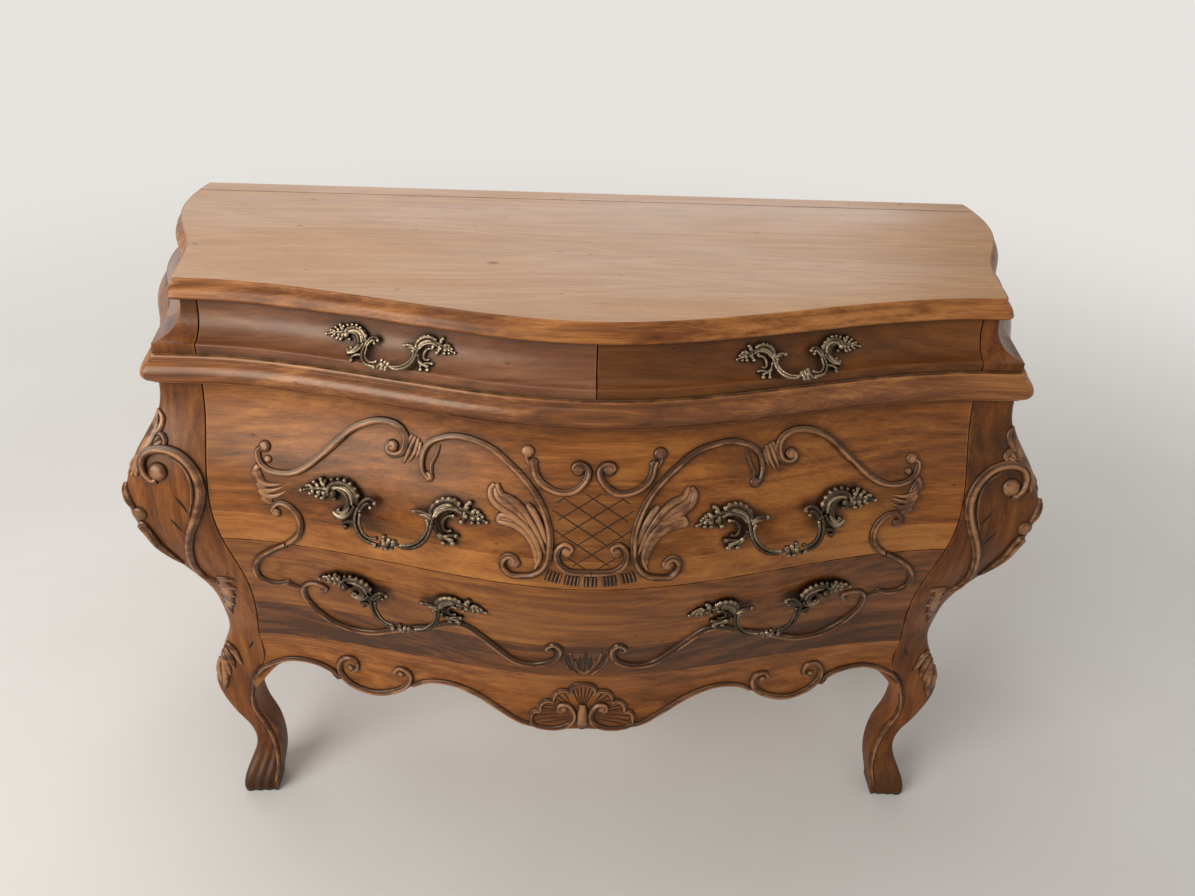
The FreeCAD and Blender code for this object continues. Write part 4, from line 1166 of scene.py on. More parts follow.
# %% Sweep tree
# The fillet's place across a ridge and half its width, as shares of the ridge's half width
FILLET_PLACE = 0.36
FILLET_WIDTH = 0.30
BUTTON_DETAIL = 3
SWEEP_INPUTS = {
    "Geometry": "NodeSocketGeometry",
    "Relief": "NodeSocketFloat",
    "Fillet": "NodeSocketFloat",
    "Crown": "NodeSocketFloat",
    "Sides": "NodeSocketInt",
    "Finish": "NodeSocketMaterial",
}


def read_own(tree, attribute, data_type="FLOAT"):
    """What the points of the lines carry under a name."""
    kind = "GeometryNodeInputNamedAttribute"
    return tree.wired(kind, "Attribute", {"Name": attribute}, data_type=data_type)


def point_axes(tree):
    """The three coordinates of each point."""
    split = tree.add("ShaderNodeSeparateXYZ")
    tree.feed(split.inputs["Vector"], tree.add("GeometryNodeInputPosition").outputs["Position"])
    return split.outputs


def reshaped(tree, geometry, crest, x, y, z):
    """A geometry with its points moved, which keep how close to the top of the carving they lie."""
    inputs = {"Geometry": geometry, "Name": "crest", "Value": crest}
    settings = {"data_type": "FLOAT", "domain": "POINT"}
    kept = tree.wired("GeometryNodeStoreNamedAttribute", "Geometry", inputs, **settings)
    place = tree.wired("ShaderNodeCombineXYZ", "Vector", {"X": x, "Y": y, "Z": z})
    return tree.wired("GeometryNodeSetPosition", "Geometry", {"Geometry": kept, "Position": place})


def swept_lines(tree, given):
    """The rounded profile, with a fillet cut in, swept along the lines at their own widths."""
    out = read_own(tree, "out", "FLOAT_VECTOR")
    half_width = read_own(tree, "half_width")
    line = tree.wired("GeometryNodeMeshToCurve", "Curve", {"Mesh": given["Geometry"]})
    line = tree.wired("GeometryNodeSetCurveNormal", "Curve", {"Curve": line, "Normal": out}, mode="FREE")
    line = tree.wired("GeometryNodeSetCurveRadius", "Curve", {"Curve": line, "Radius": half_width})
    circle = {"Radius": 1.0, "Resolution": given["Sides"]}
    ring = tree.wired("GeometryNodeCurvePrimitiveCircle", "Curve", circle)
    x, y = point_axes(tree)[:2]
    off_fillet = tree.maths("ABSOLUTE", tree.maths("ADD", y, FILLET_PLACE))
    dip = tree.span(off_fillet, 0.0, FILLET_WIDTH, 1.0, 0.0)
    crest = tree.maths("SUBTRACT", 1.0, tree.maths("MULTIPLY", dip, given["Fillet"]))
    crest = tree.maths("MULTIPLY", x, crest)
    profile = reshaped(tree, ring, crest, tree.maths("MULTIPLY", crest, given["Relief"]), y, 0.0)
    inputs = {"Curve": line, "Profile Curve": profile, "Scale": half_width, "Fill Caps": True}
    return tree.wired("GeometryNodeCurveToMesh", "Mesh", inputs)


def domed_buttons(tree, given):
    """A round button, fuller than a ball and pressed to its crown, on each point that has a radius."""
    out = read_own(tree, "out", "FLOAT_VECTOR")
    radius = read_own(tree, "ball")
    ball = tree.wired("GeometryNodeMeshIcoSphere", "Mesh", {"Subdivisions": BUTTON_DETAIL})
    x, y, z = point_axes(tree)
    fuller = tree.maths("SQRT", tree.maths("SUBTRACT", 2.0, tree.maths("MULTIPLY", z, z)))
    dome = reshaped(tree, ball, z, x, y, tree.maths("MULTIPLY", z, fuller))
    size = tree.wired("ShaderNodeCombineXYZ", "Vector", {"X": 1.0, "Y": 1.0, "Z": given["Crown"]})
    size = tree.wired("ShaderNodeVectorMath", "Vector", {"Vector": size, "Scale": radius}, operation="SCALE")
    upright = tree.wired("FunctionNodeAlignRotationToVector", "Rotation", {"Vector": out}, axis="Z")
    compare = {"data_type": "FLOAT", "operation": "GREATER_THAN"}
    chosen = tree.wired("FunctionNodeCompare", "Result", {"A": radius}, **compare)
    inputs = {"Points": given["Geometry"], "Selection": chosen, "Instance": dome}
    inputs.update({"Rotation": upright, "Scale": size})
    return tree.wired("GeometryNodeInstanceOnPoints", "Instances", inputs)


def sweep_tree(name):
    """A node tree that makes carving or castings from lines and loose points."""
    group = bpy.data.node_groups.new(name, "GeometryNodeTree")
    for title, kind in SWEEP_INPUTS.items():
        group.interface.new_socket(title, in_out="INPUT", socket_type=kind)
    group.interface.new_socket("Geometry", in_out="OUTPUT", socket_type="NodeSocketGeometry")
    tree = NodeTree(group)
    given = tree.add("NodeGroupInput").outputs
    together = tree.add("GeometryNodeJoinGeometry")
    for part in (swept_lines(tree, given), domed_buttons(tree, given)):
        tree.feed(together.inputs["Geometry"], part)
    joined = together.outputs["Geometry"]
    made = tree.wired("GeometryNodeRealizeInstances", "Geometry", {"Geometry": joined})
    made = tree.wired("GeometryNodeSetShadeSmooth", "Geometry", {"Geometry": made})
    made = tree.wired("GeometryNodeSetMaterial", "Geometry", {"Geometry": made, "Material": given["Finish"]})
    tree.feed(tree.add("NodeGroupOutput").inputs["Geometry"], made)
    return group


carving_tree = sweep_tree("swept_carving")
print("sweep tree has", len(carving_tree.nodes), "nodes")

# %% [markdown]
# The tree reads its lines from a mesh of edges, whose points carry the surface's direction and the
# line's half width, and a radius where a button goes. The modifier could stay on, but the export
# wants plain meshes, so the evaluated result is copied into one and the lines are thrown away.

# %% Sweep lines into a mesh
# Neighbours on each side that a normal is averaged with
NORMAL_REACH = 4


def smooth_normals(normals):
    """Average each normal with its neighbours along a line."""
    even = []
    for index in range(len(normals)):
        near = normals[max(0, index - NORMAL_REACH): index + NORMAL_REACH + 1]
        even.append(sum(near, Vector()).normalized())
    return even


def line_mesh(name, runs, bosses):
    """Lines and loose points with the attributes that the sweep tree reads."""
    points, edges, outs, widths, balls = [], [], [], [], []
    for run in runs:
        start = len(points)
        points += run["points"]
        outs += smooth_normals(run["normals"])
        widths += run["widths"]
        balls += [0.0] * len(run["points"])
        edges += [(index, index + 1) for index in range(start, len(points) - 1)]
    for boss in bosses:
        points.append(boss["point"])
        outs.append(boss["normal"])
        widths.append(0.0)
        balls.append(boss["radius"])
    mesh = bpy.data.meshes.new(name)
    mesh.from_pydata([tuple(point) for point in points], edges, [])
    directions = np.array([tuple(out) for out in outs], np.float32).ravel()
    mesh.attributes.new("out", "FLOAT_VECTOR", "POINT").data.foreach_set("vector", directions)
    for title, values in (("half_width", widths), ("ball", balls)):
        layer = mesh.attributes.new(title, "FLOAT", "POINT")
        layer.data.foreach_set("value", np.array(values, np.float32))
    return mesh


def swept(name, runs, bosses, finish, relief, fillet=0.0, crown=1.0, sides=16):
    """A plain mesh object made by the sweep tree from lines and buttons."""
    source = bpy.data.objects.new(name + "_lines", line_mesh(name + "_lines", runs, bosses))
    scene.collection.objects.link(source)
    modifier = source.modifiers.new("sweep", "NODES")
    modifier.node_group = carving_tree
    settings = {"Relief": relief, "Fillet": fillet, "Crown": crown, "Sides": sides, "Finish": finish}
    for socket in carving_tree.interface.items_tree:
        if socket.name in settings:
            modifier[socket.identifier] = settings[socket.name]
    evaluated = source.evaluated_get(bpy.context.evaluated_depsgraph_get())
    mesh = bpy.data.meshes.new_from_object(evaluated)
    mesh.name = name
    bpy.data.objects.remove(source)
    made = bpy.data.objects.new(name, mesh)
    scene.collection.objects.link(made)
    return made


print("lines can be swept")

# %% [markdown]
# A scroll that crosses from a drawer to a post has to part when the drawer opens, so each body has
# its own carving, one piece for each kind of line. One piece for all would be torn. Scrolls stand
# high with a fillet along them, leaves are flatter, webs lie low, and grooves are thin low lines
# in a dark walnut that paints the shade of a cut.

# %% Carve each body
# The carving is darker than the ground, as dirt and painted shade in the relief, and its pale tone is a
# painted highlight on the crests as well as wear
CARVED_TONES_WITH_PAINTED_LIGHT = (paint(42, 19, 8), paint(84, 44, 19), paint(164, 114, 74))
# Painted shade: the near-black of the hollow of a cut, for the groove lines
GROOVE_SHADE_TONES = (paint(22, 11, 5), paint(32, 17, 8), paint(44, 24, 12))
carved_walnut_with_painted_light = walnut(
    "carved_walnut_with_painted_light", CARVED_TONES_WITH_PAINTED_LIGHT, shift=(4, 1, 2), dirt_and_shade_depth=0.95, wear=0.8, gloss=0.26,
    carving=True, shine=0.5,
)
groove_shade_walnut = walnut("groove_shade_walnut", GROOVE_SHADE_TONES, shift=(1, 1, 1), dirt_and_shade_depth=0.9, wear=0.0)
RELIEFS = {"ridge": 1.25, "leaf": 0.8, "web": 0.42, "groove": 0.3}
FILLETS = {"ridge": 0.5}
# How high a button stands, as a share of its radius
CROWN = 0.5
for body in ("carcass", "upper_drawer", "lower_drawer"):
    for kind, relief in RELIEFS.items():
        finish = groove_shade_walnut if kind == "groove" else carved_walnut_with_painted_light
        runs = [run for run in strokes if run["body"] == body and run["kind"] == kind]
        bosses = [boss for boss in buttons if boss["body"] == body and kind == "ridge"]
        if runs:
            fillet = FILLETS.get(kind, 0.0)
            made = swept(f"{body}_{kind}_carving", runs, bosses, finish, relief, fillet, CROWN)
            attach(made, body)
            print(made.name, "faces:", len(made.data.polygons))

# %% [markdown]
# The six pulls are one-piece brass castings in the rococo taste: two leafy C-scrolls on the drawer
# and a doubled rod that swings out between them to a knot of beads. They are drawn once, from an
# enlarged view of the upper left pull, with how far each point stands off the wood in
# millimetres. They could be modelled face by face, but a casting this leafy is easier to draw. The
# same sweep tree casts them, and the right-hand pulls are drawn mirrored.

# %% Draw the pull
# The enlarged view: its corner in the picture's pixels, and how much it is enlarged
DRAWING_CORNER = (295, 465)
DRAWING_SCALE = 7.84
# Each line of the drawing: three half widths, and points with how far they stand off the wood
PULL_LINES = [
    # The doubled rod, left and right of the knot
    ((2.8, 2.8, 2.4), [
        (500, 330, 8), (478, 380, 10), (470, 440, 14), (485, 510, 19), (520, 565, 24), (570, 600, 28),
        (640, 625, 31),
    ]),
    ((2.2, 2.2, 2.2), [(510, 380, 12), (505, 460, 16), (530, 525, 22), (575, 568, 27), (640, 578, 31)]),
    ((2.4, 2.6, 2.8), [
        (790, 620, 31), (850, 650, 30), (920, 650, 28), (990, 620, 25), (1040, 560, 20),
        (1065, 490, 15), (1080, 420, 10), (1110, 370, 7), (1160, 335, 6), (1230, 320, 5),
    ]),
    ((2.0, 2.2, 2.0), [
        (820, 630, 31), (900, 628, 29), (970, 595, 25), (1020, 540, 20), (1042, 475, 14),
        (1035, 430, 12),
    ]),
    # Twists of the knot
    ((2.0, 3.0, 2.0), [(650, 640, 30), (690, 600, 34), (705, 560, 32)]),
    ((2.0, 3.2, 2.0), [(690, 660, 30), (725, 615, 35), (740, 570, 32)]),
    ((2.0, 3.0, 2.0), [(740, 665, 30), (765, 625, 34), (785, 590, 31)]),
    # The left C-scroll and the leaf that grows from it
    ((3.4, 4.2, 3.0), [
        (500, 310, 7), (480, 235, 7), (430, 170, 6), (360, 140, 6), (290, 150, 5), (255, 195, 5),
        (262, 235, 4),
    ]),
    ((2.2, 2.8, 1.8), [
        (448, 310, 7), (435, 240, 7), (395, 195, 7), (335, 178, 6), (290, 200, 5), (282, 235, 4),
    ]),
    ((3.0, 3.4, 2.2), [(470, 320, 8), (440, 370, 7), (395, 405, 6), (340, 400, 5), (300, 365, 4)]),
    ((1.8, 2.2, 1.6), [(425, 330, 7), (395, 365, 6), (355, 370, 5), (330, 352, 4)]),
    ((2.4, 2.8, 2.6), [(470, 450, 13), (425, 440, 9), (385, 452, 6), (385, 482, 5)]),
    ((2.8, 3.4, 1.6), [(275, 190, 5), (200, 182, 4), (130, 182, 3), (48, 195, 2)]),
    ((2.2, 2.8, 1.8), [(235, 175, 5), (212, 140, 5), (205, 105, 4)]),
    ((2.2, 2.6, 1.6), [(195, 178, 4), (168, 148, 4), (150, 128, 3)]),
    ((2.0, 2.4, 1.4), [(150, 180, 3), (122, 160, 3), (92, 155, 3)]),
    ((2.2, 2.8, 1.8), [(240, 195, 5), (232, 232, 4), (215, 262, 4)]),
    ((2.2, 2.6, 1.6), [(200, 192, 4), (190, 225, 4), (170, 246, 3)]),
    ((2.0, 2.4, 1.4), [(160, 190, 3), (145, 210, 3), (118, 222, 3)]),
    # Bands that fill the scrolls
    ((4.0, 5.2, 3.0), [
        (482, 318, 4), (458, 238, 4), (412, 184, 4), (348, 160, 3), (290, 176, 3), (270, 212, 2),
    ]),
    ((3.4, 4.2, 2.6), [(452, 326, 4), (418, 376, 4), (368, 388, 3), (316, 360, 2)]),
    ((3.6, 5.0, 3.4), [(1080, 402, 5), (1105, 356, 5), (1156, 320, 4), (1222, 312, 4), (1292, 344, 3)]),
    ((3.0, 6.0, 2.6), [
        (300, 205, 3), (345, 190, 4), (390, 215, 4), (418, 268, 4), (415, 330, 4), (385, 385, 4),
        (335, 400, 3), (305, 372, 3),
    ]),
    # The tuft beside the left stem
    ((2.4, 3.2, 2.6), [(490, 345, 10), (520, 300, 11), (560, 268, 11), (600, 268, 10), (632, 300, 9)]),
    ((2.0, 2.6, 2.0), [(505, 365, 11), (540, 318, 12), (575, 302, 12), (592, 332, 10)]),
    # The right C-scroll and its leaf
    ((3.0, 4.0, 3.0), [
        (1062, 400, 9), (1070, 345, 8), (1110, 298, 7), (1170, 275, 6), (1240, 280, 6), (1292, 315, 5),
    ]),
    ((2.2, 2.6, 2.0), [(1100, 405, 9), (1140, 365, 8), (1200, 345, 7), (1260, 350, 6), (1305, 375, 5)]),
    ((1.8, 2.8, 2.2), [
        (1250, 398, 5), (1200, 402, 5), (1162, 440, 5), (1160, 490, 5), (1190, 518, 4), (1228, 512, 4),
    ]),
    ((3.0, 3.6, 1.4), [(1290, 335, 5), (1350, 362, 4), (1420, 402, 3), (1508, 452, 2)]),
    ((2.2, 2.8, 2.0), [(1330, 345, 5), (1350, 312, 5), (1378, 290, 4)]),
    ((2.0, 2.4, 1.6), [(1380, 375, 4), (1410, 355, 4), (1440, 372, 3)]),
    ((1.8, 2.2, 1.4), [(1425, 400, 3), (1450, 386, 3), (1474, 408, 2)]),
    ((2.2, 2.8, 2.0), [(1330, 368, 5), (1326, 418, 5), (1300, 450, 4)]),
    ((2.0, 2.4, 1.6), [(1380, 395, 4), (1386, 430, 3), (1392, 456, 3)]),
    ((1.8, 2.2, 1.4), [(1430, 412, 3), (1432, 438, 2), (1444, 455, 2)]),
    # The bud under the right arm and the tuft beside it
    ((3.0, 3.2, 2.4), [(1088, 470, 13), (1115, 530, 8), (1170, 566, 6), (1240, 588, 5)]),
    ((2.4, 2.8, 2.2), [(1120, 535, 8), (1150, 580, 6), (1165, 615, 5)]),
    ((2.4, 2.8, 2.2), [(1170, 560, 6), (1225, 552, 5), (1268, 558, 4)]),
    ((2.2, 2.6, 2.2), [(1195, 575, 6), (1236, 606, 5), (1238, 626, 4)]),
    ((2.4, 2.8, 2.2), [(1060, 405, 10), (1012, 372, 10), (970, 360, 10), (932, 364, 9)]),
    ((2.0, 2.4, 2.0), [(1062, 425, 12), (1020, 395, 12), (985, 388, 11)]),
]
# Each bead: its place, how far it stands off the wood and its radius
PULL_BEADS = [
    (635, 575, 32, 3.0), (625, 632, 31, 3.0), (700, 562, 33, 3.4), (738, 588, 34, 3.2),
    (776, 604, 33, 4.0), (700, 612, 35, 3.4), (716, 652, 32, 3.0), (757, 655, 31, 3.0),
    (240, 125, 5, 2.8), (290, 113, 5, 2.8), (340, 108, 5, 2.8), (390, 120, 6, 2.8), (432, 148, 6, 2.8),
    (466, 190, 6, 2.8), (492, 240, 7, 2.8), (312, 262, 4, 3.0), (345, 350, 5, 2.4), (400, 482, 6, 4.0),
    (592, 334, 11, 2.8), (628, 302, 10, 3.2), (1084, 312, 7, 2.6), (1120, 282, 7, 2.6),
    (1162, 264, 6, 2.6), (1208, 262, 6, 2.6), (1252, 274, 5, 2.6), (1286, 300, 5, 2.6),
    (1242, 398, 5, 2.8), (1166, 610, 5, 3.4), (1240, 616, 5, 3.6), (1268, 556, 4, 3.2),
    (932, 362, 9, 3.4), (1034, 432, 12, 2.8), (48, 195, 3, 2.6), (1505, 450, 3, 2.4),
    (205, 108, 4, 3.2), (152, 130, 4, 3.0), (96, 157, 3, 2.6), (214, 258, 4, 3.2), (172, 244, 3, 3.0),
    (120, 220, 3, 2.6), (226, 150, 5, 3.4), (180, 158, 4, 3.2), (134, 172, 4, 2.8), (228, 216, 5, 3.4),
    (186, 212, 4, 3.2), (140, 202, 4, 2.8), (1374, 294, 4, 3.2), (1438, 370, 4, 3.0),
    (1472, 406, 3, 2.6), (1304, 446, 4, 3.4), (1390, 452, 4, 3.0), (1442, 452, 3, 2.6),
    (1350, 330, 5, 3.4), (1400, 366, 4, 3.2), (1344, 402, 5, 3.4), (1400, 418, 4, 3.2),
    (1440, 420, 4, 2.6),
]
print("lines of the pull:", len(PULL_LINES), "beads:", len(PULL_BEADS))

# %% [markdown]
# A pull needs a frame of its own on its drawer front: along, up and out. It comes from the front's
# surface under the pull's two fixings. The drawing could be laid flat on every front, but the
# fronts swell. So it is brought into the frame of the upper left pull by cutting each camera ray
# with a plane as far off the wood as the point stands, and set down anew on each front.

# %% Place the pulls
# The middle of a pull: how far it is from the chest's middle, and how high
FIXING_X = 0.243
FIXING_HEIGHTS = {"frieze": 0.7976, "upper": 0.6142, "lower": 0.4648}
# Rays that look for the wood under a pull start this far off its plane
FAR_OFF = 0.1
# A point this far off the wood no longer follows its swelling
ROD_REACH = 0.035
# The way between a large pull's screws, the small pulls' scale, and the scale of their drawing
LARGE_SPAN = 0.150
SMALL_SCALE = 0.72
SMALL_DRAWING = 0.67
# The drawing is a little smaller on the lower drawer
LOWER_DRAWING = 0.94
# The front's slope is read this far above and below a pull's middle
PULL_DROP = 0.02
RAY_ROUNDS = 3
# Places along a foot, measured outwards from the front's face, with the radius there
FOOT_PROFILE = ((-0.002, 0.0066), (0.001, 0.0064), (0.004, 0.0056), (0.0065, 0.0042), (0.0076, 0.0018))
drawer_fronts = [name for name in nodes if "drawer" in name and name.endswith("_front")]
front_ground = Ground([nodes[name] for name in drawer_fronts])


def front_point(x, z):
    """The point of the drawer fronts that is seen straight from the front."""
    return front_ground.search.ray_cast(Vector((x, -1, z)), Vector((0, 1, 0)))[0]


def pull_frame(x, z, span, drop):
    """Origin, along, up and out of a pull whose fixings lie either side of a point."""
    along = (front_point(x + span / 2, z) - front_point(x - span / 2, z)).normalized()
    up = front_point(x, z + drop) - front_point(x, z - drop)
    up = (up - along * up.dot(along)).normalized()
    return front_point(x, z), along, up, along.cross(up)


def wood_rise(frame_of_pull, place):
    """How far the wood stands off the pull's flat plane under a point of it, less far out."""
    origin, along, up, out = frame_of_pull
    start = origin + along * place[0] + up * place[1] + out * FAR_OFF
    distance = front_ground.search.ray_cast(start, -out)[3]
    if distance is None:
        return 0.0
    return (FAR_OFF - distance) * max(0.0, 1 - place[2] / ROD_REACH)


def drawn_point(frame_of_pull, x, y, off):
    """A point of the drawing, in millimetres off the wood, in the pull's own axes."""
    origin, along, up, out = frame_of_pull
    pixel = (DRAWING_CORNER[0] + x / DRAWING_SCALE, DRAWING_CORNER[1] + y / DRAWING_SCALE)
    way = ray_through(pixel)
    stand_off = metres(off)
    place = Vector((0, 0, stand_off))
    for again in range(RAY_ROUNDS):
        plane = origin + out * (stand_off + wood_rise(frame_of_pull, place))
        met = CAMERA_PLACE + way * (plane - CAMERA_PLACE).dot(out) / way.dot(out) - origin
        place = Vector((met.dot(along), met.dot(up), stand_off))
    return place


drawing_frame = pull_frame(-FIXING_X, FIXING_HEIGHTS["upper"], LARGE_SPAN, PULL_DROP)


def drawn_line(points):
    """A line of the drawing in the pull's own axes."""
    return [tuple(drawn_point(drawing_frame, *point)) for point in points]


pull_lines = [(widths, smooth_line(drawn_line(points))) for widths, points in PULL_LINES]
pull_beads = [(drawn_point(drawing_frame, x, y, off), metres(radius)) for x, y, off, radius in PULL_BEADS]
print("points of the drawing:", sum(len(line) for widths, line in pull_lines))

# %% [markdown]
# The brass is old: dark in the hollows, and rubbed bright where fingers reach. A plain metal with
# one roughness looks like a toy, so a fine speckle breaks the shine and a crinkle stands for the
# skin of a sand casting. Each pull is then cast on its own front, with a foot over each screw.

# %% Cast the pulls
RUB_REACH = 0.004
RUB_RANGE = (0.5, 0.98)
TARNISH_REACH = 0.008
TARNISH_RANGE = (0.08, 0.5)
SPECKLE = (900.0, 3.0)
CRINKLE = (300.0, 2.0)
CRINKLE_DEPTH = 2.4
CAST_BUMP = (0.5, 0.0006)
BRASS_TONES = (paint(54, 42, 31), paint(82, 66, 50))
BRASS_ROUGHNESS = (0.26, 0.42)
BRASS_METALLIC = 0.85
RUBBED_BRASS = paint(152, 132, 106)
TARNISH = paint(20, 15, 10)
ROD_RELIEF = 0.95
ROD_SIDES = 8
brass = Finish("antique_brass")
rub = brass.span(brass.hollows(RUB_REACH, True), *RUB_RANGE)
tarnish = brass.span(brass.hollows(TARNISH_REACH), *TARNISH_RANGE)
speckle = brass.noise(brass.place, *SPECKLE)
crinkle = brass.noise(brass.place, *CRINKLE)
metal = brass.ramp(speckle, NOISE_RANGE, BRASS_TONES)
metal = brass.blend(rub, metal, RUBBED_BRASS)
brass.wire(brass.shader, {
    "Base Color": brass.blend(tarnish, metal, TARNISH),
    "Metallic": BRASS_METALLIC,
    "Roughness": brass.span(speckle, *NOISE_RANGE, *BRASS_ROUGHNESS),
})
brass.bump(brass.maths("MULTIPLY_ADD", crinkle, CRINKLE_DEPTH, speckle), *CAST_BUMP)
fixings = {}


def cast_pull(node, x, z, scale, drawing):
    """One pull in brass on its drawer front, mirrored on the right half, with a foot over each screw."""
    own_frame = pull_frame(x, z, LARGE_SPAN * scale, PULL_DROP * scale)
    origin, along, up, out = own_frame
    side = 1 if x < 0 else -1

    def set_on(local):
        """A point of the pull's own axes on its front."""
        rise = local.z + wood_rise(own_frame, local)
        return origin + along * local.x + up * local.y + out * rise

    def drawn(place):
        return set_on(Vector((side * place[0], place[1], place[2])) * drawing)

    runs = []
    for widths, line in pull_lines:
        points = [drawn(place) for place in line]
        normals = []
        for before, after in zip(points[:1] + points, points[1:] + points[-1:]):
            way = (after - before).normalized()
            normals.append((out - way * out.dot(way)).normalized())
        half_widths = [width * scale for width in swelling(widths, len(points))]
        runs.append({"points": points, "normals": normals, "widths": half_widths})
    bosses = []
    for place, radius in pull_beads:
        bosses.append({"point": drawn(place), "normal": out, "radius": radius * scale})
    for half in (-LARGE_SPAN / 2, LARGE_SPAN / 2):
        foot = origin + along * half * scale
        points = [foot + out * rise * scale for rise, radius in FOOT_PROFILE]
        thick = [radius * scale for rise, radius in FOOT_PROFILE]
        runs.append({"points": points, "normals": [along] * len(points), "widths": thick})
        fixings.setdefault(nodes[node]["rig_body"], []).append((foot, along, out))
    pull = swept("cast_" + node, runs, bosses, brass.material, ROD_RELIEF, sides=ROD_SIDES)
    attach(pull, nodes[node]["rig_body"])
    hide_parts(node)
    return pull


for side_name, side in (("left", -1), ("right", 1)):
    x = side * FIXING_X
    cast_pull(f"frieze_drawer_{side_name}_pull", x, FIXING_HEIGHTS["frieze"], SMALL_SCALE, SMALL_DRAWING)
    cast_pull(f"upper_drawer_pull_{side_name}", x, FIXING_HEIGHTS["upper"], 1.0, 1.0)
    made = cast_pull(f"lower_drawer_pull_{side_name}", x, FIXING_HEIGHTS["lower"], 1.0, LOWER_DRAWING)
print("faces of one pull:", len(made.data.polygons))

# %% [markdown]
# Each pull is held by two turned screws with slotted round heads, let in behind the drawer front.
# They are seen when a drawer is open. A lathe could turn them, but a shank and a head are one line
# with a changing width, so the sweep tree makes them too, and a thin blade then cuts the slots.

# %% Slotted screws
# Places along a screw, measured outwards from the front's face, with the radius there
SCREW_PROFILE = (
    (-0.0139, 0.0026), (-0.0137, 0.0040), (-0.0129, 0.0049), (-0.0111, 0.0049), (-0.0110, 0.0025),
    (0.004, 0.0025),
)
SLOT_LENGTH = 0.012
SLOT_WIDTH = 0.0013
SLOT_DEPTH = 0.0016
# Each slot is turned on by twice this from the one before
SLOT_TURN = math.radians(24)
SCREW_SIDES = 24


def slot_blade(name, places):
    """One mesh of thin blades, each across the head of a screw."""
    shape = bmesh.new()
    for number, (foot, along, out) in enumerate(places):
        axes = Matrix((along, out.cross(along), out)).transposed().to_4x4()
        turned = Matrix.Rotation(SLOT_TURN * (2 * number - 1), 4, "Z")
        size = Matrix.Diagonal((SLOT_LENGTH, SLOT_WIDTH, 2 * SLOT_DEPTH, 1.0))
        head = Matrix.Translation(foot + out * SCREW_PROFILE[0][0])
        bmesh.ops.create_cube(shape, size=1.0, matrix=head @ axes @ turned @ size)
    mesh = bpy.data.meshes.new(name)
    shape.to_mesh(mesh)
    shape.free()
    blade = bpy.data.objects.new(name, mesh)
    scene.collection.objects.link(blade)
    return blade


def turned_screws(body, places):
    """The slotted screws of one drawer's pulls."""
    runs = []
    for foot, along, out in places:
        points = [foot + out * rise for rise, radius in SCREW_PROFILE]
        thick = [radius for rise, radius in SCREW_PROFILE]
        runs.append({"points": points, "normals": [along] * len(points), "widths": thick})
    blank = swept(body + "_screw_blanks", runs, [], steel.material, 1.0, sides=SCREW_SIDES)
    blade = slot_blade(body + "_slot_blade", places)
    cutter = blank.modifiers.new("slots", "BOOLEAN")
    cutter.operation = "DIFFERENCE"
    cutter.solver = "EXACT"
    cutter.object = blade
    evaluated = blank.evaluated_get(bpy.context.evaluated_depsgraph_get())
    mesh = bpy.data.meshes.new_from_object(evaluated)
    mesh.name = body + "_turned_screws"
    screws = bpy.data.objects.new(mesh.name, mesh)
    scene.collection.objects.link(screws)
    for spent in (blank, blade):
        bpy.data.objects.remove(spent)
    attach(screws, body)
    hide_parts(body + "_screws")
    return screws


for body, places in fixings.items():
    screws = turned_screws(body, places)
    print(screws.name, "faces:", len(screws.data.polygons))

# %% [markdown]
# The chest stands on one pale floor that runs far enough back to fill the picture. A wall could
# close it off, but it would cast its own shade. Far from the chest the lamps fall off, so there
# the floor and the world show a plain pale backdrop to the rays that come from the camera,
# straight or by a mirror, and light nothing.

# %% Floor
FLOOR_REACH = 14.0
FLOOR_CELLS = 8
FLOOR_MOTTLE = (3.0, 4.0)
FLOOR_TONES = (paint(208, 204, 198), paint(213, 209, 204))
FLOOR_ROUGHNESS = 0.7
BACKDROP = paint(230, 227, 222)
BACKDROP_RANGE = (0.9, 3.2)


def seen_rays(tree):
    """One for the rays that come from the camera, straight or by a mirror or a glass."""
    path = tree.add("ShaderNodeLightPath").outputs
    seen = tree.maths("MAXIMUM", path["Is Camera Ray"], path["Is Glossy Ray"])
    return tree.maths("MAXIMUM", seen, path["Is Transmission Ray"])


def either_shader(tree, share, first, second):
    """A share of the second shader over the first."""
    node = tree.add("ShaderNodeMixShader")
    for socket, value in zip(node.inputs, (share, first, second)):
        tree.feed(socket, value)
    return node.outputs["Shader"]


floor_mesh = bpy.data.meshes.new("floor")
shape = bmesh.new()
bmesh.ops.create_grid(shape, x_segments=FLOOR_CELLS, y_segments=FLOOR_CELLS, size=FLOOR_REACH)
shape.to_mesh(floor_mesh)
shape.free()
floor = bpy.data.objects.new("floor", floor_mesh)
scene.collection.objects.link(floor)
pale_floor = Finish("pale_floor")
mottle = pale_floor.noise(pale_floor.place, *FLOOR_MOTTLE)
pale_floor.wire(pale_floor.shader, {
    "Base Color": pale_floor.ramp(mottle, NOISE_RANGE, FLOOR_TONES),
    "Roughness": FLOOR_ROUGHNESS,
})
own_place = {"Vector": pale_floor.place}
off_middle = pale_floor.wired("ShaderNodeVectorMath", "Value", own_place, operation="LENGTH")
far = pale_floor.span(off_middle, *BACKDROP_RANGE)
far_seen = pale_floor.maths("MULTIPLY", far, seen_rays(pale_floor))
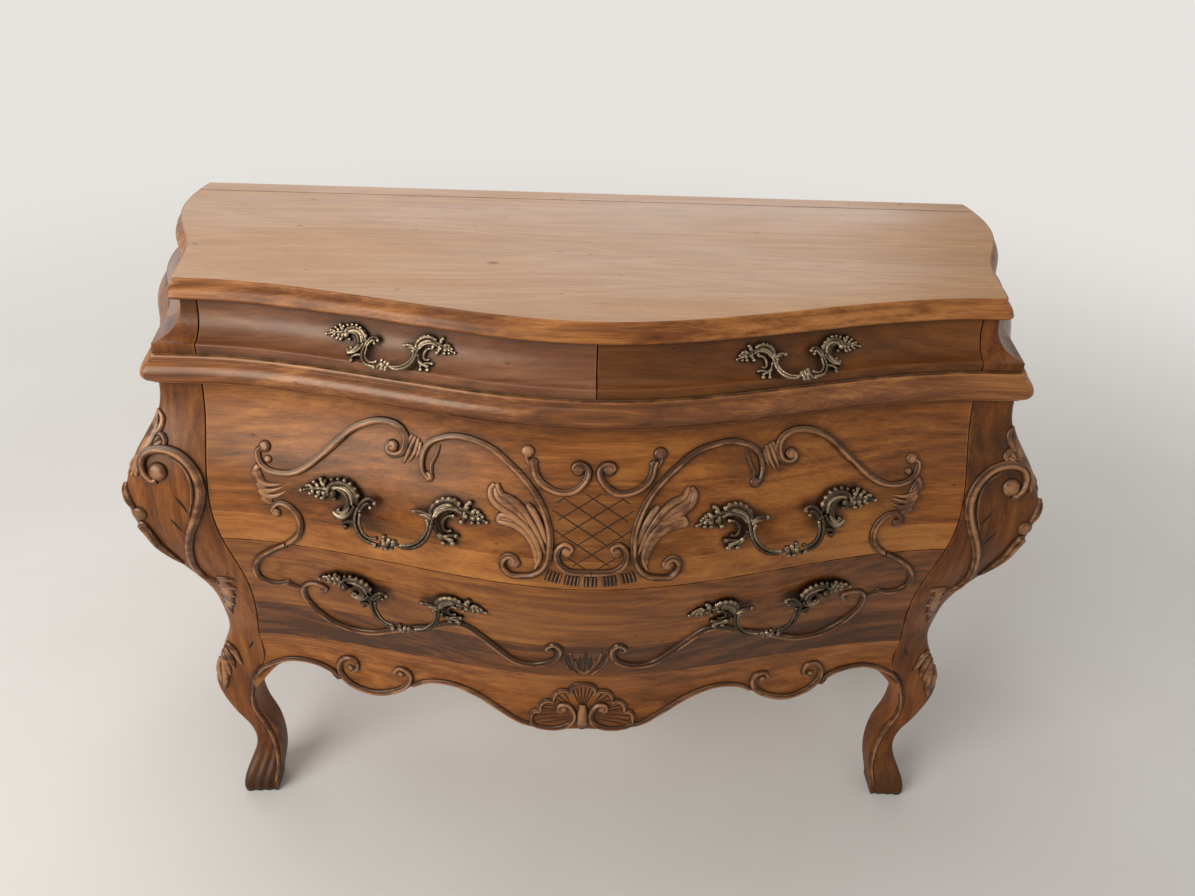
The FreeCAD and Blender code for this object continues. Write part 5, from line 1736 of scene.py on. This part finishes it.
backdrop = pale_floor.wired("ShaderNodeEmission", "Emission", {"Color": BACKDROP})
lit = pale_floor.shader.outputs["BSDF"]
pale_floor.feed(pale_floor.surface, either_shader(pale_floor, far_seen, lit, backdrop))
floor_mesh.materials.append(pale_floor.material)
print("floor reaches", FLOOR_REACH, "metres")

# %% [markdown]
# The light is plain and soft, so that a colour renders about as it is written. One lamp would leave
# the right side black, and a bright world alone would flatten the carving. A weak world fills the
# shadows and four large lamps shape the wood.

# %% Light
WORLD_TINT = (1.0, 0.98, 0.95, 1.0)
WORLD_STRENGTH = 0.36
# Each lamp: its place, what it points at, width, height and power
LAMPS = {
    "window": ((-2.2, -1.9, 1.7), (0, 0, 0.5), 2.2, 1.8, 88),
    "fill": ((2.8, -2.6, 2.0), (0, 0, 0.5), 2.0, 2.0, 4),
    "rear_window": ((-0.8, 3.0, 2.3), (0, 0, 0.8), 5.4, 1.4, 50),
    "overhead": ((-0.2, 0.1, 2.7), (0, 0, 0.8), 1.8, 1.0, 14),
}


def soft_lamp(name, place, target, width, height, power):
    """A large lamp that points from its place at a target."""
    lamp = bpy.data.lights.new(name, "AREA")
    lamp.shape = "RECTANGLE"
    lamp.size = width
    lamp.size_y = height
    lamp.energy = power
    holder = bpy.data.objects.new(name, lamp)
    way = Vector(target) - Vector(place)
    holder.matrix_world = Matrix.Translation(place) @ way.to_track_quat("-Z", "Y").to_matrix().to_4x4()
    scene.collection.objects.link(holder)


for name, settings in LAMPS.items():
    soft_lamp(name, *settings)
world = bpy.data.worlds.new("studio")
world.use_nodes = True
sky = NodeTree(world.node_tree)
even_light = sky.tree.nodes["Background"]
sky.wire(even_light, {"Color": WORLD_TINT, "Strength": WORLD_STRENGTH})
pale_sky = sky.wired("ShaderNodeBackground", "Background", {"Color": BACKDROP})
sky_seen = either_shader(sky, seen_rays(sky), even_light.outputs["Background"], pale_sky)
sky.feed(sky.tree.nodes["World Output"].inputs["Surface"], sky_seen)
scene.world = world
scene.view_settings.view_transform = "Standard"
print("lamps:", len(LAMPS))
